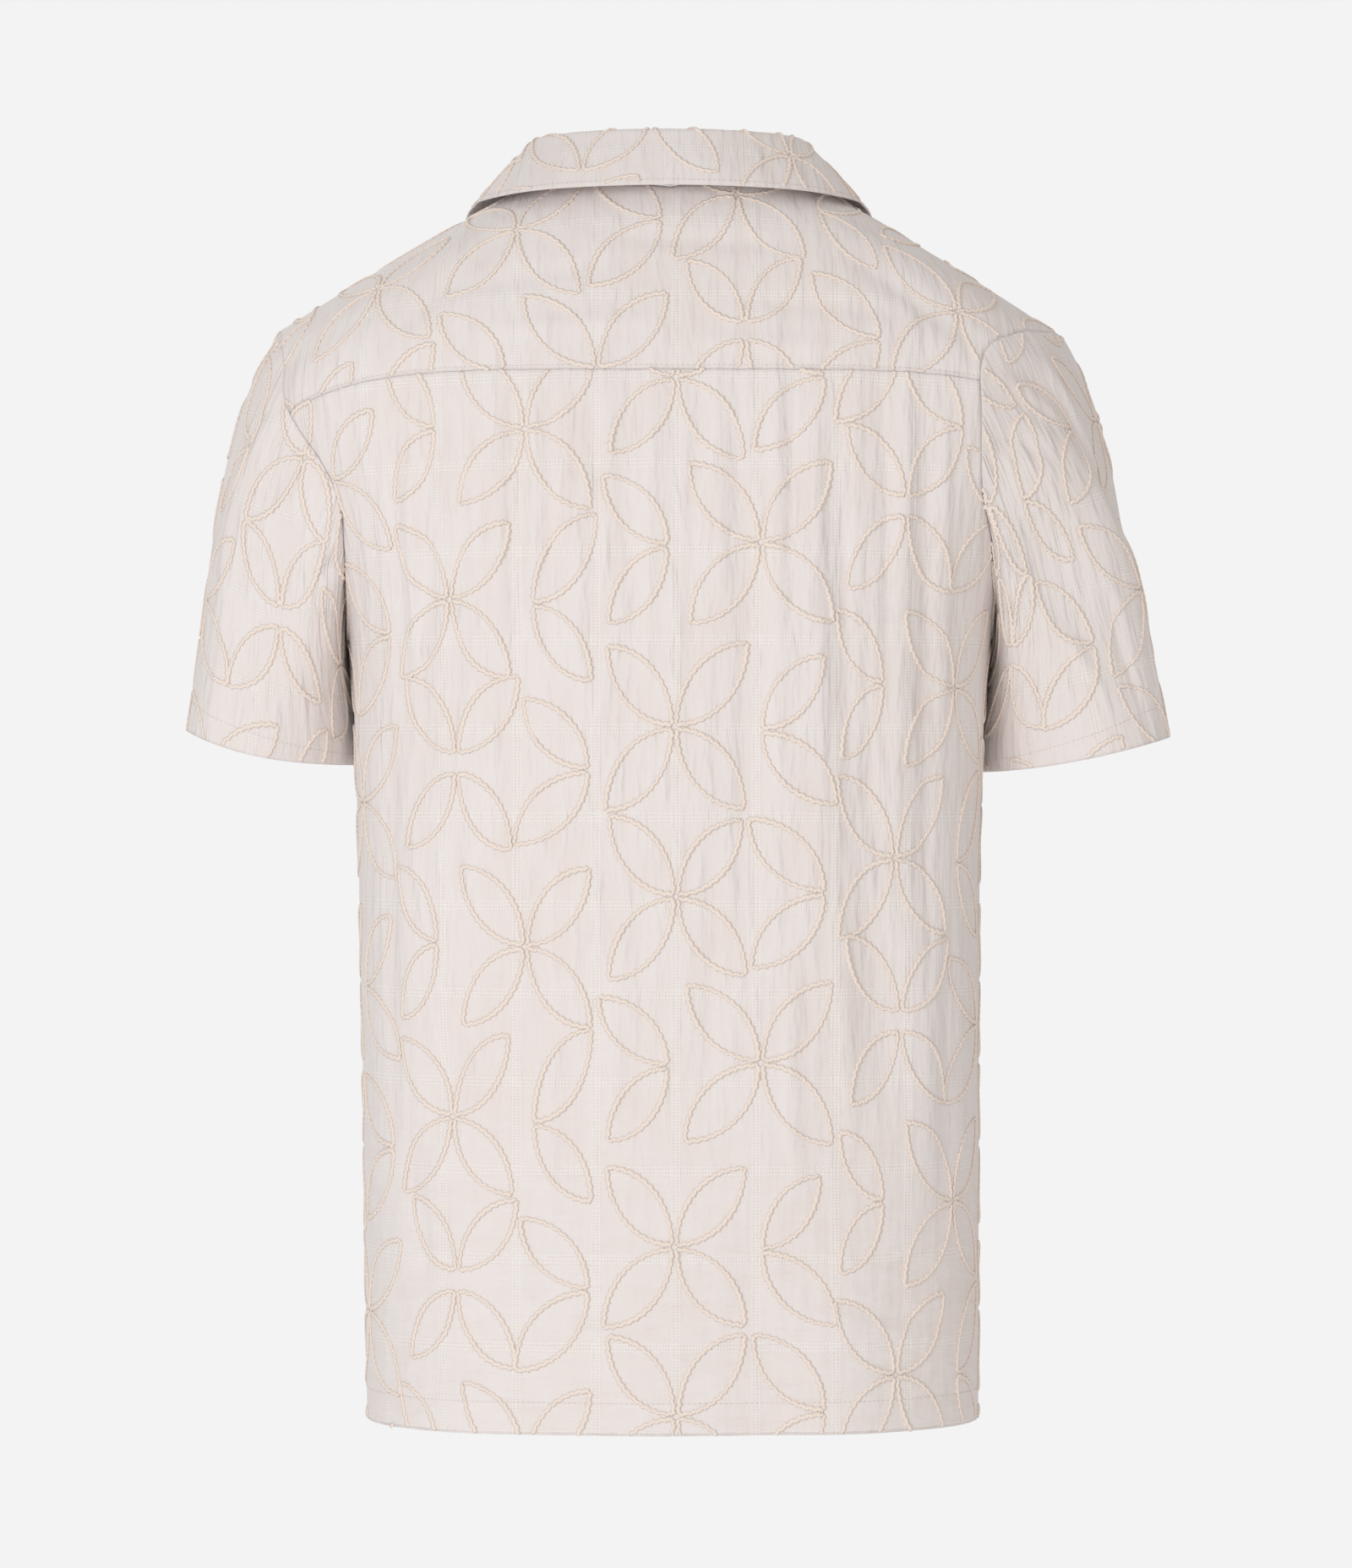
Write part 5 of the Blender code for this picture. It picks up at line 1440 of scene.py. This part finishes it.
def model_button():
    """One button, made a hundred times its size: a turned rim, a dished middle and four sewn holes."""
    grow = BUTTON_GROW
    radius, height = BUTTON_RADIUS * grow, BUTTON_HEIGHT * grow
    bpy.ops.object.select_all(action="DESELECT")
    bpy.ops.mesh.primitive_cylinder_add(vertices=40, radius=radius, depth=height)
    button = bpy.context.object
    for angle in HOLE_TURNS:
        bpy.ops.mesh.primitive_cylinder_add(
            vertices=12, radius=HOLE_RADIUS * grow, depth=height * 3,
            location=(np.cos(angle * np.pi) * HOLE_OUT * grow, np.sin(angle * np.pi) * HOLE_OUT * grow, 0))
        bpy.context.object.name = f"hole_{angle}"
    holes = [piece for piece in bpy.context.scene.collection.all_objects if piece.name.startswith("hole_")]
    select_only(button)
    bpy.ops.object.mode_set(mode="EDIT")
    mesh = bmesh.from_edit_mesh(button.data)
    select_faces(mesh, lambda face: face.normal.z > 0.9)
    bmesh.update_edit_mesh(button.data)
    bpy.ops.mesh.inset(thickness=radius * RIM_SHARE, depth=0.0)
    bpy.ops.mesh.inset(thickness=radius * DISH_SHARE, depth=-height * DISH_DEPTH)
    bpy.ops.object.mode_set(mode="OBJECT")
    bevel = button.modifiers.new("turned edge", "BEVEL")
    bevel.width, bevel.segments, bevel.limit_method = height * EDGE_SHARE, 3, "ANGLE"
    bevel.angle_limit = np.radians(40)
    for hole in holes:
        cut = button.modifiers.new("hole", "BOOLEAN")
        cut.operation, cut.solver, cut.object = "DIFFERENCE", "EXACT", hole
    apply_modifiers(button)
    for hole in holes:
        bpy.data.meshes.remove(hole.data)
    button.data.shade_smooth()
    select_only(button)
    bpy.ops.object.shade_smooth_by_angle(angle=np.radians(35))
    return button


def button_place(height):
    """Where a button sits on the lapped front, and how it is tilted."""
    rows = np.linspace(ROW["front_chest"], ROW["hem_front"], 400)
    row = np.interp(-height, -torso(rows, np.pi / 2)[:, 2], rows)
    point, normal = (array[0] for array in cloth(np.array([row]), np.array([np.pi / 2])))
    return point + normal * (BUTTON_STANDOFF + BUTTON_HEIGHT / 2), np.arctan2(-normal[1], normal[2]), row


def place_mesh(piece, name, place, tilt, scale):
    """Moves a piece's mesh to its place and gives it a name, with the object left at the origin."""
    turn = np.array([[1, 0, 0], [0, np.cos(tilt), -np.sin(tilt)], [0, np.sin(tilt), np.cos(tilt)]])
    points = np.empty(len(piece.data.vertices) * 3)
    piece.data.vertices.foreach_get("co", points)
    points = points.reshape(-1, 3) * scale @ turn.T + place
    piece.data.vertices.foreach_set("co", points.ravel())
    piece.data.update()
    piece.name = piece.data.name = name


class SHIRT_OT_back(bpy.types.Operator):
    """Dress the back panel, from the hem to the yoke seam"""
    bl_idname = "shirt.back"
    bl_label = "Back Panel"

    def execute(self, context):
        dress("back")
        return {"FINISHED"}


class SHIRT_OT_yoke(bpy.types.Operator):
    """Dress the yoke, which runs over the shoulders"""
    bl_idname = "shirt.yoke"
    bl_label = "Yoke"

    def execute(self, context):
        dress("yoke")
        return {"FINISHED"}


class SHIRT_OT_fronts(bpy.types.Operator):
    """Dress both front panels"""
    bl_idname = "shirt.fronts"
    bl_label = "Front Panels"

    def execute(self, context):
        for side in ("left", "right"):
            dress("front_" + side)
        return {"FINISHED"}


class SHIRT_OT_sleeves(bpy.types.Operator):
    """Dress both short sleeves"""
    bl_idname = "shirt.sleeves"
    bl_label = "Sleeves"

    def execute(self, context):
        for side in ("left", "right"):
            dress("sleeve_" + side, tube=True)
        return {"FINISHED"}


class SHIRT_OT_collar(bpy.types.Operator):
    """Dress the open collar"""
    bl_idname = "shirt.collar"
    bl_label = "Collar"

    def execute(self, context):
        dress("collar")
        return {"FINISHED"}


class SHIRT_OT_lapels(bpy.types.Operator):
    """Dress both lapels, where the facing turns out"""
    bl_idname = "shirt.lapels"
    bl_label = "Lapels"

    def execute(self, context):
        for side in ("left", "right"):
            dress("lapel_" + side)
        return {"FINISHED"}


class SHIRT_OT_buttons(bpy.types.Operator):
    """Turn the buttons, sew them on and sew their buttonholes"""
    bl_idname = "shirt.buttons"
    bl_label = "Buttons"

    def execute(self, context):
        width = context.scene.shirt_sewing.thread_width
        first = model_button()
        runs, holes = [], []
        cloth_map = MAPS["front_left"][0]
        for number, height in enumerate(BUTTON_HEIGHTS, start=1):
            button = first.copy()
            button.data = first.data.copy()
            context.scene.collection.objects.link(button)
            place, tilt, row = button_place(height)
            place_mesh(button, f"turned_button_{number}", place, tilt, 1 / BUTTON_GROW)
            finish_piece(button, "button", finishes()["shell"], f"button_{number}")
            runs += button_threads(place, tilt)
            holes += buttonhole_runs(cloth_map, row, height)
        bpy.data.meshes.remove(first.data)
        sewn("button_thread", runs, width * BUTTON_THREAD_SHARE, CORD_SIDES, BUTTON_THREAD_SEED)
        sewn("buttonholes", holes, width * BUTTONHOLE_THREAD_SHARE, STITCH_SIDES, BUTTONHOLE_SEED)
        return {"FINISHED"}


def button_threads(place, tilt):
    """The threads that cross a button's middle from hole to hole and go down through them."""
    normal = np.array([0.0, -np.sin(tilt), np.cos(tilt)])
    up = np.array([0.0, np.cos(tilt), np.sin(tilt)])
    across = np.array([1.0, 0.0, 0.0])
    reach = HOLE_OUT * np.sqrt(0.5)
    ways = np.array([-1.05, -1.0, -0.5, 0.0, 0.5, 1.0, 1.05])
    lifts = np.array([-0.9, 0.10, 0.52, 0.62, 0.52, 0.10, -0.9]) * BUTTON_HEIGHT / 2
    runs = []
    for column_at in (-1, 1):
        for shift in (-THREAD_APART, THREAD_APART):
            line = (place + across * (column_at * reach + shift) + np.outer(ways * reach, up)
                    + np.outer(lifts, normal))
            runs.append((line, np.tile(normal, (len(ways), 1))))
    return runs


def buttonhole_runs(cloth_map, row, height):
    """The close stitches round one buttonhole, which shows above and below its button."""
    rows = np.linspace(row - BUTTONHOLE_ROWS, row + BUTTONHOLE_ROWS, 200)
    heights = torso(rows, angle_at(rows, np.zeros(len(rows))))[:, 2]
    runs = []
    for side in (-1, 1):
        for down in np.arange(-BUTTONHOLE_HALF, BUTTONHOLE_HALF, BUTTONHOLE_PITCH):
            at_row = np.interp(-(height - down), -heights, rows)
            x = side * np.linspace(BUTTONHOLE_SLIT, BUTTONHOLE_WIDTH, len(STITCH_DIVE))
            at_rows = np.full(len(x), at_row)
            points, normals = cloth_map.form(at_rows, angle_at(at_rows, x))
            runs.append((points + normals * np.array(STITCH_DIVE)[:, None], normals))
    return runs


class SHIRT_OT_stage(bpy.types.Operator):
    """Add the camera, the floor and the soft lights"""
    bl_idname = "shirt.stage"
    bl_label = "Stage"

    def execute(self, context):
        stage = context.scene.shirt_stage
        bpy.ops.object.select_all(action="DESELECT")
        bpy.ops.mesh.primitive_plane_add(size=stage.floor_size, location=(0, 0, 0))
        floor = context.object
        place_mesh(floor, "floor", np.array([0.0, 0.0, stage.floor_height]), 0.0, 1.0)
        floor.data.materials.append(finishes()["floor"])
        for name, place, size, colour in LIGHTS:
            light = bpy.data.lights.new(name, "AREA")
            light.energy, light.size, light.color = getattr(stage, name + "_power"), size, colour
            lamp = bpy.data.objects.new(name, light)
            lamp.location = place
            lamp.rotation_euler = (Vector(place) - Vector((0, 0, AIM_HEIGHT))).to_track_quat("Z", "Y").to_euler()
            context.scene.collection.objects.link(lamp)
        camera = bpy.data.cameras.new("camera")
        camera.sensor_fit, camera.sensor_height, camera.lens = "VERTICAL", SENSOR_HEIGHT, stage.lens
        view = bpy.data.objects.new("camera", camera)
        view.location, view.rotation_euler = (0.0, stage.camera_away, AIM_HEIGHT), (np.pi / 2, 0, np.pi)
        context.scene.collection.objects.link(view)
        context.scene.camera = view
        context.scene.view_settings.view_transform = "Standard"
        self.light_room(context.scene, stage)
        return {"FINISHED"}

    @staticmethod
    def light_room(scene, stage):
        """A pale even room, brighter behind the shirt than the light that it gives."""
        world = bpy.data.worlds.new("room")
        world.use_nodes = True
        scene.world = world
        nodes, links = world.node_tree.nodes, world.node_tree.links
        room = nodes["Background"]
        room.inputs["Color"].default_value = (*stage.room_colour, 1.0)
        room.inputs["Strength"].default_value = stage.room_light
        wall = nodes.new("ShaderNodeBackground")
        wall.inputs["Color"].default_value = (1.0, 1.0, 1.0, 1.0)
        wall.inputs["Strength"].default_value = stage.wall_tone
        mix = nodes.new("ShaderNodeMixShader")
        links.new(nodes.new("ShaderNodeLightPath").outputs["Is Camera Ray"], mix.inputs[0])
        links.new(room.outputs[0], mix.inputs[1])
        links.new(wall.outputs[0], mix.inputs[2])
        links.new(mix.outputs[0], nodes["World Output"].inputs["Surface"])


def length_property(name, description, default):
    return FloatProperty(name=name, description=description, default=default, min=0.0, unit="LENGTH", precision=5)


def colour_property(name, description, default):
    return FloatVectorProperty(name=name, description=description, default=default, size=3, min=0.0, max=1.0,
                               subtype="COLOR")


class ShirtCloth(bpy.types.PropertyGroup):
    thickness: length_property("Cloth Thickness", "How thick the thin cotton is", 0.0007)
    light_colour: colour_property("Cloth", "The cotton's own colour", (0.884, 0.846, 0.846))
    # Warm colour: the cloth's warmer random patches, and painted warm shade in the puckers' hollows
    warm_tone_and_painted_shade: colour_property("Warm Cloth", "The cotton where it is a little warmer", (0.862, 0.778, 0.742))
    line_colour: colour_property("Woven Dots", "The dots of the woven lines", (1.0, 0.985, 0.970))
    line_pitch_across: length_property("Lines Apart", "From one woven line down the cloth to the next", 0.0445)
    line_pitch_down: length_property("Cross Lines Apart", "From one woven line across to the next", 0.0490)


class ShirtCord(bpy.types.PropertyGroup):
    width: length_property("Cord Width", "How wide the couched cord is", 0.0026)
    height: length_property("Cord Height", "How far the cord stands off the cloth", 0.0014)
    spacing: length_property("Cord Steps", "The steps that the cord is drawn in", 0.00108)
    crimp_depth: length_property("Crimp Depth", "How far the cord waves to each side", 0.00045)
    crimp_length: length_property("Crimp Length", "The length of one wave", 0.0046)
    hand: length_property("Hand", "How far a leaf's tip strays from its place", 0.0022)
    cord_colour: colour_property("Cord", "The top of the cord", (0.945, 0.855, 0.790))
    # Painted shade on the cord's low sides and in its crimps, and its darker fibres
    cord_painted_shade_and_fibre: colour_property("Cord Shade", "The cord's sides and the hollows of its crimps", (0.76, 0.56, 0.43))


class ShirtSewing(bpy.types.PropertyGroup):
    thread_width: length_property("Thread Width", "How thick the sewing thread is", 0.0004)
    stitch_length: length_property("Stitch Length", "The part of each stitch that shows", 0.0022)
    stitch_pitch: length_property("Stitch Pitch", "From one stitch to the next", 0.0029)
    thread_colour: colour_property("Thread", "The sewing thread", (0.88, 0.82, 0.76))
    # Painted shade on the sewing thread's low sides
    thread_painted_shade: colour_property("Thread Shade", "The sewing thread low down", (0.66, 0.57, 0.49))
    shell_colour: colour_property("Buttons", "The pale bands of the buttons", (0.86, 0.82, 0.76))
    shell_shade: colour_property("Button Shade", "The darker bands of the buttons", (0.66, 0.58, 0.49))


class ShirtStage(bpy.types.PropertyGroup):
    floor_size: length_property("Floor", "The floor's side", 3.2)
    floor_height: FloatProperty(name="Floor Height", description="Where the floor is", default=-1.5, unit="LENGTH")
    floor_colour: colour_property("Floor Colour", "The floor's own colour", (0.92, 0.92, 0.92))
    key_power: FloatProperty(name="Key Light", description="The main light", default=38.0, unit="POWER")
    fill_power: FloatProperty(name="Fill Light", description="The light from the other side", default=12.5,
                              unit="POWER")
    front_power: FloatProperty(name="Front Light", description="The light on the other face", default=34.0,
                               unit="POWER")
    room_colour: colour_property("Room Colour", "The colour of the room's light", (1.0, 0.958, 0.920))
    room_light: FloatProperty(name="Room Light", description="How bright the room is", default=0.56, min=0.0)
    wall_tone: FloatProperty(name="Wall", description="How bright the wall behind looks", default=0.896, min=0.0)
    lens: FloatProperty(name="Lens", description="The camera's lens, in millimetres", default=136.05)
    camera_away: length_property("Camera Distance", "From the camera to the shirt's middle", 3.4)


GROUPS = (("shirt_cloth", ShirtCloth), ("shirt_cord", ShirtCord), ("shirt_sewing", ShirtSewing),
          ("shirt_stage", ShirtStage))
OPERATORS = (SHIRT_OT_stage, SHIRT_OT_back, SHIRT_OT_yoke, SHIRT_OT_fronts, SHIRT_OT_sleeves, SHIRT_OT_collar,
             SHIRT_OT_lapels, SHIRT_OT_buttons)


class SHIRT_PT_panel(bpy.types.Panel):
    """The shirt's settings and the steps that make it"""
    bl_idname = "SHIRT_PT_panel"
    bl_label = "Embroidered Shirt"
    bl_space_type = "VIEW_3D"
    bl_region_type = "UI"
    bl_category = "Shirt"

    def draw(self, context):
        for group, kind in GROUPS:
            box = self.layout.box()
            for name in kind.__annotations__:
                box.prop(getattr(context.scene, group), name)
        for operator in OPERATORS:
            self.layout.operator(operator.bl_idname)


def register():
    for _, group in GROUPS:
        bpy.utils.register_class(group)
    for name, group in GROUPS:
        setattr(bpy.types.Scene, name, PointerProperty(type=group))
    for operator in OPERATORS:
        bpy.utils.register_class(operator)
    bpy.utils.register_class(SHIRT_PT_panel)


def unregister():
    bpy.utils.unregister_class(SHIRT_PT_panel)
    for operator in reversed(OPERATORS):
        bpy.utils.unregister_class(operator)
    for name, group in reversed(GROUPS):
        delattr(bpy.types.Scene, name)
        bpy.utils.unregister_class(group)


def main():
    register()
    bpy.ops.shirt.stage()
    bpy.ops.shirt.back()
    bpy.ops.shirt.yoke()
    bpy.ops.shirt.fronts()
    bpy.ops.shirt.sleeves()
    bpy.ops.shirt.collar()
    bpy.ops.shirt.lapels()
    bpy.ops.shirt.buttons()


if __name__ == "__main__":
    main()
